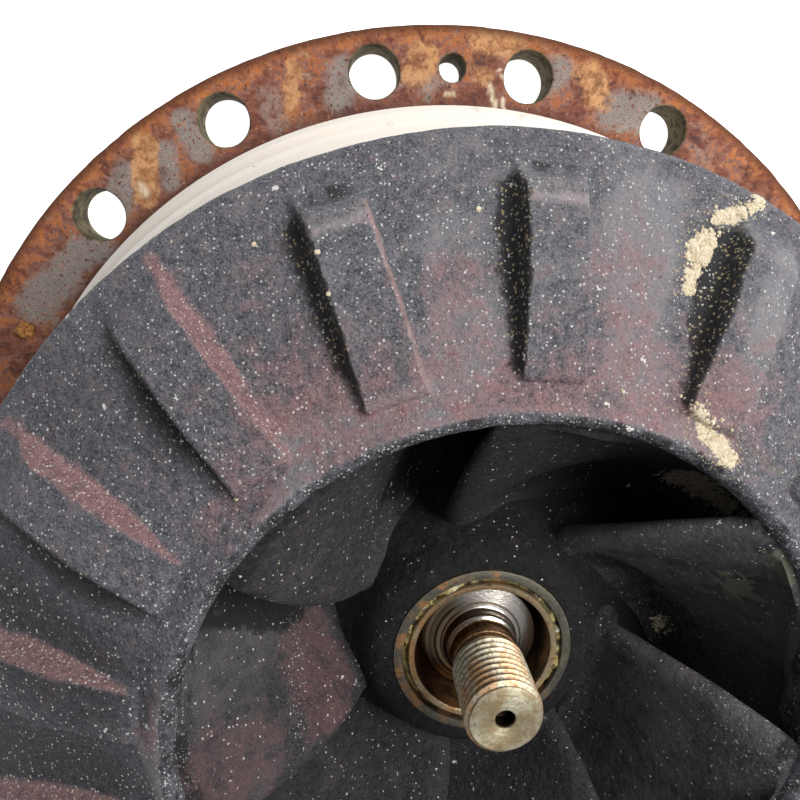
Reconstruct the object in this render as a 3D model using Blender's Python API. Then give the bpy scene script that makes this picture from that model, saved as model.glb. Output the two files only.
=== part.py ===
"""Rubber-covered closed impeller on its threaded shaft end, in front of a drilled mounting flange.

The shaft stands upright along +Z. The origin is the centre of the flange's back face,
which is the flat face that the part rests on. All lengths are in metres.
"""
import math

import bmesh
import bpy
from mathutils import Vector

MM = 0.001
FIT_GAP = 0.3 * MM
ROUND_STEPS = 72
SMALL_STEPS = 36

# Mounting flange: a drilled steel ring.
PLATE_RADIUS = 350 * MM
PLATE_THICKNESS = 27 * MM
PLATE_BORE_RADIUS = 150 * MM
BOLT_PLACES = 20
PLACES_WITHOUT_HOLE = (1, 5, 11, 15)
BOLT_CIRCLE_RADIUS = 324 * MM
BOLT_HOLE_RADIUS = 16.6 * MM
FIRST_BOLT_ANGLE = math.radians(135.9)
JACK_HOLE_RADIUS = 9 * MM
JACK_HOLE_ANGLES = (math.radians(90.9), math.radians(270.9))
HOLE_STEPS = 20

# Stepped spigot: the pale turned ring in front of the flange.
SPIGOT_STEP_RADIUS = 298 * MM
SPIGOT_STEP_TOP = 51 * MM
SPIGOT_NOSE_RADIUS = 284 * MM
SPIGOT_TOP = 98 * MM
SPIGOT_EDGE = 1.5 * MM

# Seal housing: the thick hub of the stator that carries the shaft.
HOUSING_BOTTOM = 3 * MM
HOUSING_TOP = 95 * MM
HOUSING_RECESS_RADIUS = 105 * MM
HOUSING_RECESS_DEPTH = 12 * MM
GLAND_RADIUS = 62 * MM

# Drive shaft, from the journal to the bare threaded end.
JOURNAL_RADIUS = 32.6 * MM
JOURNAL_BOTTOM = 6 * MM
SHAFT_CLEARANCE = 0.4 * MM
CONE_BOTTOM = 164 * MM
CONE_TOP = 167.5 * MM
CONE_TOP_RADIUS = 20.8 * MM
COLLAR_RADIUS = 20.1 * MM
COLLAR_TOP = 173.5 * MM
UNDERCUT_RADIUS = 17.5 * MM
THREAD_BOTTOM = 190 * MM
THREAD_RADIUS = 19.4 * MM
SHAFT_TOP = 227.7 * MM
THREAD_CHAMFER = 2 * MM
CENTRE_HOLE_RADIUS = 4.4 * MM
CENTRE_HOLE_DEPTH = 9 * MM

# Hub: two steel rings inside a rubber-covered boss.
ROTOR_BOTTOM = 107 * MM
HUB_FACE = 177 * MM
SLEEVE_RADIUS = 41.4 * MM
SLEEVE_COUNTERBORE_RADIUS = 37.7 * MM
SLEEVE_COUNTERBORE_BOTTOM = 131 * MM
HUB_RING_RADIUS = 49 * MM
HUB_GROOVE_RADIUS = 43.8 * MM
HUB_GROOVE_DEPTH = 5 * MM
HUB_COVER_STEP_RADIUS = 60 * MM
HUB_COVER_RADIUS = 150 * MM
BACK_SHROUD_TOP = 125 * MM
IMPELLER_RADIUS = 268 * MM

# The hub's flow surface, as (radius, height), from the hub face out to the back shroud.
HUB_SURFACE = (
    (0.0493, 0.1770), (0.0560, 0.1760), (0.0625, 0.1710), (0.0720, 0.1560),
    (0.0850, 0.1435), (0.1050, 0.1335), (0.1280, 0.1285), (0.1500, 0.1272),
)

# Front shroud: a cone with a round lip about the eye.
CONE_EDGE_HEIGHT = 188 * MM
LIP_BASE_RADIUS = 157 * MM
LIP_BASE_HEIGHT = 236 * MM
RIM_EDGE = 2 * MM
LIP_SURFACE = ((0.1555, 0.2390), (0.1535, 0.2405), (0.1515, 0.2402), (0.1500, 0.2380))

# The front shroud's flow surface, from the eye out to the impeller's edge.
SHROUD_SURFACE = (
    (0.1495, 0.2350), (0.1500, 0.2250), (0.1530, 0.2130), (0.1600, 0.2030),
    (0.1730, 0.1945), (0.1950, 0.1870), (0.2300, 0.1770), (0.2660, 0.1660),
)

# Vanes: seven twisted blades from the eye to the impeller's edge.
VANE_COUNT = 7
VANE_THICKNESS = 13 * MM
VANE_WRAP = math.radians(115)
VANE_EDGE_RADIUS = 262 * MM
VANE_NOSE = 0.07
VANE_ROOT_REACH = 0.30
VANE_TIP_REACH = 0.14
VANE_STATIONS = 7
VANE_STEPS = 11

# A vane's leading edge at the hub, half way and at the eye's wall: radius, height, angle.
LEADING_EDGE = (
    (0.0717, 0.1545, math.radians(157.3)),
    (0.0989, 0.1928, math.radians(154.9)),
    (0.1495, 0.2360, math.radians(146.9)),
)
TRAILING_HEIGHTS = (0.125, 0.166)
BEND_AT_HUB = (0.095, 0.127)
BEND_AT_SHROUD = (0.155, 0.198)

# Expelling ribs: flat-topped bars on the front shroud.
RIB_COUNT = 16
RIB_ANGLES_SHOWN = (62.6, 87.2, 109.1, 130.5, 151.9, 173.8, 194.5)
RIB_HALF_WIDTH = 13 * MM
RIB_SIDE_DRAFT = 0.27
RIB_ROOT_DEPTH = 8 * MM
RIB_INNER_RADIUS = 167 * MM
RIB_OUTER_RADIUS = 242 * MM
RIB_FULL_HEIGHT_RADIUS = 205 * MM
RIB_INNER_HEIGHT = 5 * MM
RIB_FULL_HEIGHT = 12.5 * MM
RIB_INNER_END_DRAFT = 0.5
RIB_OUTER_END_DRAFT = 0.95


def clear_scene():
    """Remove every object of the open scene."""
    for item in list(bpy.data.objects):
        bpy.data.objects.remove(item, do_unlink=True)


def make_material(name, colour, roughness, metallic):
    """A Principled material with the finish's plain colour."""
    material = bpy.data.materials.new(name)
    material.use_nodes = True
    shader = material.node_tree.nodes["Principled BSDF"]
    shader.inputs["Base Color"].default_value = (*colour, 1.0)
    shader.inputs["Roughness"].default_value = roughness
    shader.inputs["Metallic"].default_value = metallic
    return material


def add_object(name, mesh, material, parent):
    """Link a mesh as a named object under its parent empty."""
    item = bpy.data.objects.new(name, mesh)
    bpy.context.collection.objects.link(item)
    if material is not None:
        mesh.materials.append(material)
    item.parent = parent
    return item


def add_empty(name):
    """An empty that holds the pieces of one body, on the shaft's axis."""
    item = bpy.data.objects.new(name, None)
    bpy.context.collection.objects.link(item)
    return item


def mesh_from(bm, name, smooth=True):
    """Turn a bmesh into a mesh with outward faces."""
    bmesh.ops.recalc_face_normals(bm, faces=bm.faces)
    mesh = bpy.data.meshes.new(name)
    bm.to_mesh(mesh)
    bm.free()
    if smooth:
        mesh.shade_smooth()
        mesh.set_sharp_from_angle(angle=math.radians(30))
    return mesh


def turned_mesh(name, profile, steps):
    """Spin a profile of (radius, height) points about the shaft's axis.

    A profile off the axis is closed into a ring; one that starts and ends on it stays open.
    """
    bm = bmesh.new()
    verts = [bm.verts.new((radius, 0.0, height)) for radius, height in profile]
    edges = [bm.edges.new(pair) for pair in zip(verts, verts[1:])]
    if profile[0][0] > 0.0:
        edges.append(bm.edges.new((verts[-1], verts[0])))
    bmesh.ops.spin(
        bm, geom=verts + edges, cent=(0, 0, 0), axis=(0, 0, 1),
        angle=2 * math.pi, steps=steps, use_merge=True,
    )
    bmesh.ops.remove_doubles(bm, verts=bm.verts, dist=1e-6)
    return mesh_from(bm, name)


def offset_profile(points, distance):
    """Move a profile sideways: to its left for a positive distance, seen along its points."""
    moved = []
    for index, point in enumerate(points):
        before = Vector(points[max(index - 1, 0)])
        after = Vector(points[min(index + 1, len(points) - 1)])
        along = (after - before).normalized()
        moved.append((point[0] - along.y * distance, point[1] + along.x * distance))
    return moved


def add_cutter(name, mesh):
    """A guide solid that cuts its neighbours and is no piece of the part."""
    cutter = add_object(name, mesh, None, None)
    cutter.hide_render = True
    cutter.display_type = "WIRE"
    return cutter


def cut(item, cutter, operation="DIFFERENCE"):
    """Cut a piece with a guide solid."""
    modifier = item.modifiers.new("cut", "BOOLEAN")
    modifier.operation = operation
    modifier.object = cutter


def hole_cutter():
    """All the flange's bolt holes and jacking holes as one cutter."""
    spots = [
        (FIRST_BOLT_ANGLE + 2 * math.pi * place / BOLT_PLACES, BOLT_HOLE_RADIUS)
        for place in range(BOLT_PLACES)
        if place not in PLACES_WITHOUT_HOLE
    ]
    spots += [(angle, JACK_HOLE_RADIUS) for angle in JACK_HOLE_ANGLES]
    bm = bmesh.new()
    for angle, radius in spots:
        made = bmesh.ops.create_cone(
            bm, cap_ends=True, segments=HOLE_STEPS,
            radius1=radius, radius2=radius, depth=3 * PLATE_THICKNESS,
        )
        centre = Vector((math.cos(angle), math.sin(angle), 0)) * BOLT_CIRCLE_RADIUS
        centre.z = PLATE_THICKNESS / 2
        bmesh.ops.translate(bm, verts=made["verts"], vec=centre)
    return add_cutter("hole_cutter", mesh_from(bm, "hole_cutter"))


def make_flange(parent, material):
    """The drilled ring that bolts to the machine."""
    edge = 1.5 * MM
    profile = (
        (PLATE_BORE_RADIUS, 0.0),
        (PLATE_RADIUS - edge, 0.0),
        (PLATE_RADIUS, edge),
        (PLATE_RADIUS, PLATE_THICKNESS - edge),
        (PLATE_RADIUS - edge, PLATE_THICKNESS),
        (PLATE_BORE_RADIUS, PLATE_THICKNESS),
    )
    mesh = turned_mesh("mounting_flange", profile, ROUND_STEPS)
    flange = add_object("mounting_flange", mesh, material, parent)
    cut(flange, hole_cutter())


def make_spigot(parent, material):
    """The pale ring with two steps that stands on the flange."""
    base = PLATE_THICKNESS + FIT_GAP
    profile = (
        (PLATE_BORE_RADIUS, base),
        (SPIGOT_STEP_RADIUS, base),
        (SPIGOT_STEP_RADIUS, SPIGOT_STEP_TOP - SPIGOT_EDGE),
        (SPIGOT_STEP_RADIUS - SPIGOT_EDGE, SPIGOT_STEP_TOP),
        (SPIGOT_NOSE_RADIUS, SPIGOT_STEP_TOP),
        (SPIGOT_NOSE_RADIUS, SPIGOT_TOP - SPIGOT_EDGE),
        (SPIGOT_NOSE_RADIUS - SPIGOT_EDGE, SPIGOT_TOP),
        (PLATE_BORE_RADIUS, SPIGOT_TOP),
    )
    mesh = turned_mesh("stepped_spigot", profile, ROUND_STEPS)
    add_object("stepped_spigot", mesh, material, parent)


def make_housing(parent, material):
    """The plug in the flange's bore, with the bearing bore for the shaft."""
    outer = PLATE_BORE_RADIUS - FIT_GAP
    bore = JOURNAL_RADIUS + SHAFT_CLEARANCE
    recess = HOUSING_BOTTOM + HOUSING_RECESS_DEPTH
    profile = (
        (bore, HOUSING_BOTTOM),
        (GLAND_RADIUS, HOUSING_BOTTOM),
        (GLAND_RADIUS, recess),
        (HOUSING_RECESS_RADIUS, recess),
        (HOUSING_RECESS_RADIUS, HOUSING_BOTTOM),
        (outer, HOUSING_BOTTOM),
        (outer, HOUSING_TOP),
        (bore, HOUSING_TOP),
    )
    mesh = turned_mesh("seal_housing", profile, ROUND_STEPS)
    add_object("seal_housing", mesh, material, parent)


def make_shaft(parent, material):
    """The shaft: journal, bright cone, collar, undercut and the thread's envelope."""
    undercut_bottom = COLLAR_TOP + THREAD_CHAMFER
    profile = (
        (0.0, JOURNAL_BOTTOM),
        (JOURNAL_RADIUS - THREAD_CHAMFER, JOURNAL_BOTTOM),
        (JOURNAL_RADIUS, JOURNAL_BOTTOM + THREAD_CHAMFER),
        (JOURNAL_RADIUS, CONE_BOTTOM),
        (CONE_TOP_RADIUS, CONE_TOP),
        (COLLAR_RADIUS, CONE_TOP),
        (COLLAR_RADIUS, COLLAR_TOP),
        (UNDERCUT_RADIUS, undercut_bottom),
        (UNDERCUT_RADIUS, THREAD_BOTTOM - THREAD_CHAMFER),
        (THREAD_RADIUS, THREAD_BOTTOM),
        (THREAD_RADIUS, SHAFT_TOP - THREAD_CHAMFER),
        (THREAD_RADIUS - THREAD_CHAMFER, SHAFT_TOP),
        (CENTRE_HOLE_RADIUS, SHAFT_TOP),
        (0.0, SHAFT_TOP - CENTRE_HOLE_DEPTH),
    )
    mesh = turned_mesh("drive_shaft", profile, SMALL_STEPS)
    add_object("drive_shaft", mesh, material, parent)


def make_hub_sleeve(parent, material):
    """The inner steel ring, counterbored in front of the shaft's cone."""
    seat = JOURNAL_RADIUS + FIT_GAP
    profile = (
        (seat, ROTOR_BOTTOM),
        (SLEEVE_RADIUS, ROTOR_BOTTOM),
        (SLEEVE_RADIUS, HUB_FACE + MM),
        (SLEEVE_COUNTERBORE_RADIUS, HUB_FACE + MM),
        (SLEEVE_COUNTERBORE_RADIUS, SLEEVE_COUNTERBORE_BOTTOM),
        (seat, SLEEVE_COUNTERBORE_BOTTOM),
    )
    mesh = turned_mesh("hub_sleeve", profile, SMALL_STEPS)
    add_object("hub_sleeve", mesh, material, parent)


def make_hub_ring(parent, material):
    """The outer steel ring, grooved against the sleeve."""
    inner = SLEEVE_RADIUS + FIT_GAP
    groove = HUB_FACE - HUB_GROOVE_DEPTH
    profile = (
        (inner, ROTOR_BOTTOM),
        (HUB_RING_RADIUS, ROTOR_BOTTOM),
        (HUB_RING_RADIUS, HUB_FACE + MM),
        (HUB_GROOVE_RADIUS, HUB_FACE + MM),
        (HUB_GROOVE_RADIUS, groove),
        (inner, groove),
    )
    mesh = turned_mesh("hub_ring", profile, SMALL_STEPS)
    add_object("hub_ring", mesh, material, parent)


def make_hub_cover(parent, material):
    """The rubber-covered boss that falls from the hub face to the back shroud."""
    seat = BACK_SHROUD_TOP + FIT_GAP
    profile = (
        (HUB_SURFACE[0][0], ROTOR_BOTTOM),
        (HUB_COVER_STEP_RADIUS, ROTOR_BOTTOM),
        (HUB_COVER_STEP_RADIUS, seat),
        (HUB_COVER_RADIUS, seat),
        *reversed(HUB_SURFACE),
    )
    mesh = turned_mesh("hub_cover", profile, ROUND_STEPS)
    add_object("hub_cover", mesh, material, parent)


def make_back_shroud(parent, material):
    """The flat disc behind the vanes."""
    inner = HUB_COVER_STEP_RADIUS + FIT_GAP
    profile = (
        (inner, ROTOR_BOTTOM),
        (IMPELLER_RADIUS - RIM_EDGE, ROTOR_BOTTOM),
        (IMPELLER_RADIUS, ROTOR_BOTTOM + RIM_EDGE),
        (IMPELLER_RADIUS, BACK_SHROUD_TOP - RIM_EDGE),
        (IMPELLER_RADIUS - RIM_EDGE, BACK_SHROUD_TOP),
        (inner, BACK_SHROUD_TOP),
    )
    mesh = turned_mesh("back_shroud", profile, ROUND_STEPS)
    add_object("back_shroud", mesh, material, parent)


def cone_height(radius):
    """Height of the front shroud's conical face at a radius."""
    slope = (LIP_BASE_HEIGHT - CONE_EDGE_HEIGHT) / (IMPELLER_RADIUS - LIP_BASE_RADIUS)
    return CONE_EDGE_HEIGHT + slope * (IMPELLER_RADIUS - radius)


def make_front_shroud(parent, material):
    """The conical shroud about the eye, with its round lip."""
    profile = (
        (IMPELLER_RADIUS, SHROUD_SURFACE[-1][1] + RIM_EDGE),
        (IMPELLER_RADIUS, CONE_EDGE_HEIGHT - RIM_EDGE),
        (IMPELLER_RADIUS - RIM_EDGE, cone_height(IMPELLER_RADIUS - RIM_EDGE)),
        (LIP_BASE_RADIUS, LIP_BASE_HEIGHT),
        *LIP_SURFACE,
        *SHROUD_SURFACE,
    )
    mesh = turned_mesh("front_shroud", profile, ROUND_STEPS)
    add_object("front_shroud", mesh, material, parent)


def quadratic(first, middle, last, share):
    """Value at a share of the way on the parabola through three values."""
    return (
        first * 2 * (share - 0.5) * (share - 1)
        - middle * 4 * share * (share - 1)
        + last * 2 * share * (share - 0.5)
    )


def blend(first, last, share):
    """Straight blend between two values."""
    return first + (last - first) * share


def vane_point(along, across):
    """Middle of a vane, from its leading edge (0) to its end (1), and from hub to shroud."""
    low, middle, high = LEADING_EDGE
    start_radius = quadratic(low[0], middle[0], high[0], across)
    start_height = quadratic(low[1], middle[1], high[1], across)
    start_angle = quadratic(low[2], middle[2], high[2], across)
    bend_radius = blend(BEND_AT_HUB[0], BEND_AT_SHROUD[0], across)
    bend_height = blend(BEND_AT_HUB[1], BEND_AT_SHROUD[1], across)
    end_height = blend(TRAILING_HEIGHTS[0], TRAILING_HEIGHTS[1], across)
    rest = 1 - along
    radius = start_radius * rest**2 + bend_radius * 2 * along * rest + VANE_EDGE_RADIUS * along**2
    height = start_height * rest**2 + bend_height * 2 * along * rest + end_height * along**2
    angle = blend(start_angle, low[2] - VANE_WRAP, along)
    return Vector((radius * math.cos(angle), radius * math.sin(angle), height))


def vane_side_offset(along, across):
    """Half the vane's thickness along its face's normal, round at the leading edge."""
    small = 0.002
    flow = vane_point(along + small, across) - vane_point(along - small, across)
    span = vane_point(along, across + small) - vane_point(along, across - small)
    nose = min(along / VANE_NOSE, 1.0)
    half = VANE_THICKNESS / 2 * math.sqrt(1 - (1 - nose) ** 2)
    return flow.cross(span).normalized() * half


def vane_mesh():
    """A closed blade that reaches a little into the hub and the shroud, to be cut to them."""
    shares = [(index / VANE_STEPS) ** 1.5 for index in range(VANE_STEPS + 1)]
    bm = bmesh.new()
    loops = []
    for station in range(VANE_STATIONS):
        across = blend(-VANE_ROOT_REACH, 1 + VANE_TIP_REACH, station / (VANE_STATIONS - 1))
        nose = bm.verts.new(vane_point(0.0, across))
        front = []
        back = []
        for along in shares[1:]:
            middle = vane_point(along, across)
            offset = vane_side_offset(along, across)
            front.append(bm.verts.new(middle + offset))
            back.append(bm.verts.new(middle - offset))
        loops.append([nose] + front + list(reversed(back)))
    for loop, after in zip(loops, loops[1:]):
        count = len(loop)
        for index in range(count):
            following = (index + 1) % count
            bm.faces.new((loop[index], loop[following], after[following], after[index]))
    bm.faces.new(loops[0])
    bm.faces.new(loops[-1])
    bmesh.ops.triangulate(bm, faces=bm.faces)
    return mesh_from(bm, "vane")


def passage_cutter():
    """The space between the hub and the front shroud, a fit gap inside both."""
    floor_profile = (*HUB_SURFACE[1:], (HUB_COVER_RADIUS + MM, BACK_SHROUD_TOP))
    floor_profile += ((IMPELLER_RADIUS, BACK_SHROUD_TOP),)
    floor = offset_profile(floor_profile, FIT_GAP)
    roof = offset_profile(tuple(reversed(SHROUD_SURFACE)), FIT_GAP)
    top = LIP_BASE_HEIGHT
    inner = floor[0][0]
    profile = (*floor, *roof, (roof[-1][0], top), (inner, top))
    return add_cutter("passage_cutter", turned_mesh("passage_cutter", profile, ROUND_STEPS))


def make_vanes(parent, material):
    """Seven equal vanes, each cut to the hub and the shroud."""
    mesh = vane_mesh()
    mesh.materials.append(material)
    passage = passage_cutter()
    for index in range(VANE_COUNT):
        vane = add_object(f"vane_{index + 1}", mesh, None, parent)
        vane.rotation_euler.z = -2 * math.pi * index / VANE_COUNT
        cut(vane, passage, "INTERSECT")


def rib_angles():
    """The ribs' angles: the ones that show, and the rest evenly about the remaining arc."""
    shown = list(RIB_ANGLES_SHOWN)
    missing = RIB_COUNT - len(shown)
    arc = 360 - (shown[-1] - shown[0])
    step = arc / (missing + 1)
    hidden = [shown[-1] + step * (index + 1) for index in range(missing)]
    return [math.radians(angle) for angle in shown + hidden]


def rib_mesh():
    """A tapered bar along +X with sloping sides and ends, reaching into the shroud."""
    bm = bmesh.new()
    stations = (
        (RIB_INNER_RADIUS, RIB_INNER_HEIGHT, -RIB_INNER_END_DRAFT),
        (RIB_FULL_HEIGHT_RADIUS, RIB_FULL_HEIGHT, 0.0),
        (RIB_OUTER_RADIUS, RIB_FULL_HEIGHT, RIB_OUTER_END_DRAFT),
    )
    loops = []
    for radius, height, end_draft in stations:
        drop = height + RIB_ROOT_DEPTH
        root_radius = radius + end_draft * drop
        root_width = RIB_HALF_WIDTH + RIB_SIDE_DRAFT * drop
        top = cone_height(radius) + height
        root = cone_height(root_radius) - RIB_ROOT_DEPTH
        loops.append([
            bm.verts.new((radius, -RIB_HALF_WIDTH, top)),
            bm.verts.new((radius, RIB_HALF_WIDTH, top)),
            bm.verts.new((root_radius, root_width, root)),
            bm.verts.new((root_radius, -root_width, root)),
        ])
    for loop, after in zip(loops, loops[1:]):
        for index in range(4):
            following = (index + 1) % 4
            bm.faces.new((loop[index], loop[following], after[following], after[index]))
    bm.faces.new(loops[0])
    bm.faces.new(loops[-1])
    return mesh_from(bm, "rib", smooth=False)


def shroud_face_cutter():
    """Everything under the front shroud's conical face, a fit gap above it."""
    inner = (LIP_BASE_RADIUS, LIP_BASE_HEIGHT)
    outer = (IMPELLER_RADIUS, CONE_EDGE_HEIGHT)
    face = offset_profile((inner, outer), FIT_GAP)
    floor = SHROUD_SURFACE[-1][1]
    profile = ((inner[0] - 10 * MM, floor), (outer[0], floor), face[1], face[0])
    return add_cutter("face_cutter", turned_mesh("face_cutter", profile, ROUND_STEPS))


def make_ribs(parent, material):
    """Sixteen expelling ribs, each cut to sit on the cone."""
    mesh = rib_mesh()
    mesh.materials.append(material)
    face = shroud_face_cutter()
    for index, angle in enumerate(rib_angles()):
        rib = add_object(f"rib_{index + 1:02d}", mesh, None, parent)
        rib.rotation_euler.z = angle
        cut(rib, face)


def build():
    """Make the fixed pieces and the rotor."""
    clear_scene()
    rust = make_material("rusty_steel", (0.30, 0.13, 0.06), 0.85, 0.2)
    pale = make_material("pale_spigot", (0.83, 0.79, 0.74), 0.55, 0.0)
    iron = make_material("housing_iron", (0.30, 0.28, 0.26), 0.7, 0.4)
    rubber = make_material("black_rubber", (0.09, 0.09, 0.10), 0.75, 0.0)
    bright = make_material("bright_shaft", (0.62, 0.58, 0.48), 0.3, 1.0)
    ring = make_material("stained_ring", (0.45, 0.33, 0.22), 0.45, 0.8)

    stator = add_empty("stator")
    make_flange(stator, rust)
    make_spigot(stator, pale)
    make_housing(stator, iron)

    rotor = add_empty("rotor")
    make_shaft(rotor, bright)
    make_hub_sleeve(rotor, ring)
    make_hub_ring(rotor, ring)
    make_hub_cover(rotor, rubber)
    make_back_shroud(rotor, rubber)
    make_front_shroud(rotor, rubber)
    make_vanes(rotor, rubber)
    make_ribs(rotor, rubber)


build()
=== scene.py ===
# %% [markdown]
# A worn, rubber-covered impeller stands on its threaded shaft end, in front of a rusty drilled
# flange with a pale stepped spigot. The frame gives every solid at its real size and place. This
# lesson dresses it: finer meshes take the place of the plain solids, and node materials give
# them rust, rubber, bare steel and dried scale. The frame itself is never moved or reshaped.

# %% Load the frame
import math
import random

import bmesh
import bpy
import numpy as np
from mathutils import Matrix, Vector, geometry, noise


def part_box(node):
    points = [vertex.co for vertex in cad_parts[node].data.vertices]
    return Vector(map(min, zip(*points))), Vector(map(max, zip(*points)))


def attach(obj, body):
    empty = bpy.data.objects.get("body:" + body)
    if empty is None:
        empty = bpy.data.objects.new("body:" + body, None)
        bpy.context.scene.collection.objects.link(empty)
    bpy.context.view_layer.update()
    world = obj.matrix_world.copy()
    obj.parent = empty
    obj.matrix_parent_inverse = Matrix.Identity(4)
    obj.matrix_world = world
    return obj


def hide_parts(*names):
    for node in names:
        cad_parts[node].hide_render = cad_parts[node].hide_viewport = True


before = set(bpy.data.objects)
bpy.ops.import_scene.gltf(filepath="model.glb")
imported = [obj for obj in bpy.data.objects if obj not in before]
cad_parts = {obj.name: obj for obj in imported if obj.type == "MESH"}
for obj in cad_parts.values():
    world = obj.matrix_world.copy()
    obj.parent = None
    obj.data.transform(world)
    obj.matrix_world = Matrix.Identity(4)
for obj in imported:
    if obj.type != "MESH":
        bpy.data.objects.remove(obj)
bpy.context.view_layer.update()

# %% [markdown]
# The camera comes first, because every later choice is judged through it. It stands close above
# the impeller and looks almost straight down the shaft, so the near shaft end looks large. The
# place, tilt and lens were worked out from the round edges of the real object, which share one
# axis. The optical axis meets the picture a little off its middle, which is the lens shift.

# %% Camera
MM = 0.001
FRAME_PIXELS = 800
FOCAL_PIXELS = 652.1
OPTICAL_CENTRE = (411.4, 379.2)
CAMERA_PLACE = (-0.0766, 0.2270, 0.4811)
CAMERA_TILT = (-0.2397, -0.1065, 0.0)
NEAR_CLIP = 20 * MM

camera_data = bpy.data.cameras.new("camera")
camera_data.lens = FOCAL_PIXELS * camera_data.sensor_width / FRAME_PIXELS
camera_data.shift_x = (FRAME_PIXELS / 2 - OPTICAL_CENTRE[0]) / FRAME_PIXELS
camera_data.shift_y = (OPTICAL_CENTRE[1] - FRAME_PIXELS / 2) / FRAME_PIXELS
camera_data.clip_start = NEAR_CLIP
camera = bpy.data.objects.new("camera", camera_data)
bpy.context.scene.collection.objects.link(camera)
camera.location = CAMERA_PLACE
camera.rotation_mode = "ZYX"
camera.rotation_euler = CAMERA_TILT
bpy.context.scene.camera = camera
bpy.context.scene.view_settings.view_transform = "Standard"
print(f"lens {camera_data.lens:.1f} mm, {1000 * CAMERA_PLACE[2]:.0f} mm above the flange's back")

# %% [markdown]
# Almost everything here is turned or moulded, so most meshes are sheets of points in rows. One
# row is one ring about the shaft. A closed sheet also joins its last row to its first, which
# gives a ring that has an inside and an outside. A small helper turns such an array into a mesh,
# and another one names it, puts it on its body and hides the solid it stands for.

# %% Mesh helpers
WELD_REACH = 1e-6
SLIVER = 1e-7


def sheet_quads(index, closed=False):
    """The four-sided faces between neighbouring rings, from the numbers of their points."""
    low = index if closed else index[:-1]
    high = np.roll(index, -1, 0) if closed else index[1:]
    return np.stack([low, np.roll(low, -1, 1), np.roll(high, -1, 1), high], -1).reshape(-1, 4)


def sheet_mesh(name, rows, closed):
    """A mesh from an array of rings: (rings, points in a ring, 3). Each ring closes on itself."""
    rings, steps = rows.shape[:2]
    index = np.arange(rings * steps).reshape(rings, steps)
    mesh = bpy.data.meshes.new(name)
    mesh.from_pydata(rows.reshape(-1, 3).tolist(), [], sheet_quads(index, closed).tolist())
    return mesh


def mesh_points(mesh):
    """The places of a mesh's points, as rows of an array."""
    return np.array([point.co for point in mesh.vertices])


def face_outward(mesh):
    """Close small gaps at the poles and turn every face outward."""
    bm = bmesh.new()
    bm.from_mesh(mesh)
    bmesh.ops.remove_doubles(bm, verts=bm.verts, dist=WELD_REACH)
    bmesh.ops.dissolve_degenerate(bm, edges=bm.edges, dist=SLIVER)
    bmesh.ops.recalc_face_normals(bm, faces=bm.faces)
    bm.to_mesh(mesh)
    bm.free()


def add_piece(name, mesh, body, material, replaced=(), sharp=35):
    """Name a mesh, smooth it, and hang it on its body."""
    mesh.shade_smooth()
    mesh.set_sharp_from_angle(angle=math.radians(sharp))
    piece = bpy.data.objects.new(name, mesh)
    bpy.context.scene.collection.objects.link(piece)
    mesh.materials.append(material)
    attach(piece, body)
    if replaced:
        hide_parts(*replaced)
    mesh.calc_loop_triangles()
    print(f"{name}: {len(mesh.loop_triangles)} triangles on {body}")


# %% Outlines and turned forms
CURVE_STEPS = 8
ARC_STEPS = 4


def in_metres(pairs):
    """(radius, height) pairs in millimetres, as metres."""
    return [(radius * MM, height * MM) for radius, height in pairs]


def outline(points, pitch, straight=False):
    """Points along a smooth curve, or straight runs, through (radius, height) pairs."""
    curve = points = np.array(points, float)
    if not straight:
        ends = np.vstack([2 * points[0] - points[1], points, 2 * points[-1] - points[-2]])
        t = np.linspace(0, 1, CURVE_STEPS + 1)[:-1, None]
        parts = []
        for a, b, c, d in zip(ends, ends[1:], ends[2:], ends[3:]):
            parts.append(0.5 * (2*b + (c - a)*t + (2*a - 5*b + 4*c - d)*t**2 + (3*b - a - 3*c + d)*t**3))
        curve = np.vstack(parts + [points[-1:]])
    run = np.concatenate([[0], np.cumsum(np.hypot(*np.diff(curve, axis=0).T))])
    count = max(2, round(run[-1] / pitch) + 1)
    at = np.linspace(0, run[-1], count)
    return np.stack([np.interp(at, run, curve[:, 0]), np.interp(at, run, curve[:, 1])], -1)


def round_corners(corners, radius):
    """A closed outline with each corner rounded by a short arc."""
    made = []
    count = len(corners)
    for i in range(count):
        before, here, after = (Vector(corners[(i + k) % count]) for k in (-1, 0, 1))
        reach = min(radius, (before - here).length / 2.1, (after - here).length / 2.1)
        start = here + (before - here).normalized() * reach
        end = here + (after - here).normalized() * reach
        for k in range(ARC_STEPS + 1):
            t = k / ARC_STEPS
            made.append(tuple(start * (1 - t) ** 2 + here * 2 * t * (1 - t) + end * t ** 2))
    return made


def circle_angles(steps):
    """Angles of points that stand evenly on a circle."""
    return np.arange(steps) * 2 * math.pi / steps


def turned_rows(profile, steps):
    """Rings about the shaft from (radius, height) pairs."""
    profile = np.array(profile, float)
    angle = circle_angles(steps)
    around = np.stack([np.cos(angle), np.sin(angle)], -1)
    flat = profile[:, None, :1] * around[None]
    height = np.broadcast_to(profile[:, None, 1:], flat.shape[:2] + (1,))
    return np.concatenate([flat, height], -1)


def closed_rows(corners, pitch, steps):
    """Rings of a turned form whose outline closes on itself."""
    return turned_rows(outline(corners + corners[:1], pitch, True)[:-1], steps)


def row_normals(rows, closed):
    """Outward or inward normals of a sheet of rings, from its neighbours."""
    around = np.roll(rows, -1, 1) - np.roll(rows, 1, 1)
    along = np.roll(rows, -1, 0) - np.roll(rows, 1, 0) if closed else np.gradient(rows, axis=0)
    normal = np.cross(around, along)
    size = np.linalg.norm(normal, axis=-1, keepdims=True)
    return normal / np.maximum(size, 1e-12)


print("points on a quarter turn of 160 steps:", len(circle_angles(160)) // 4)
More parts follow.
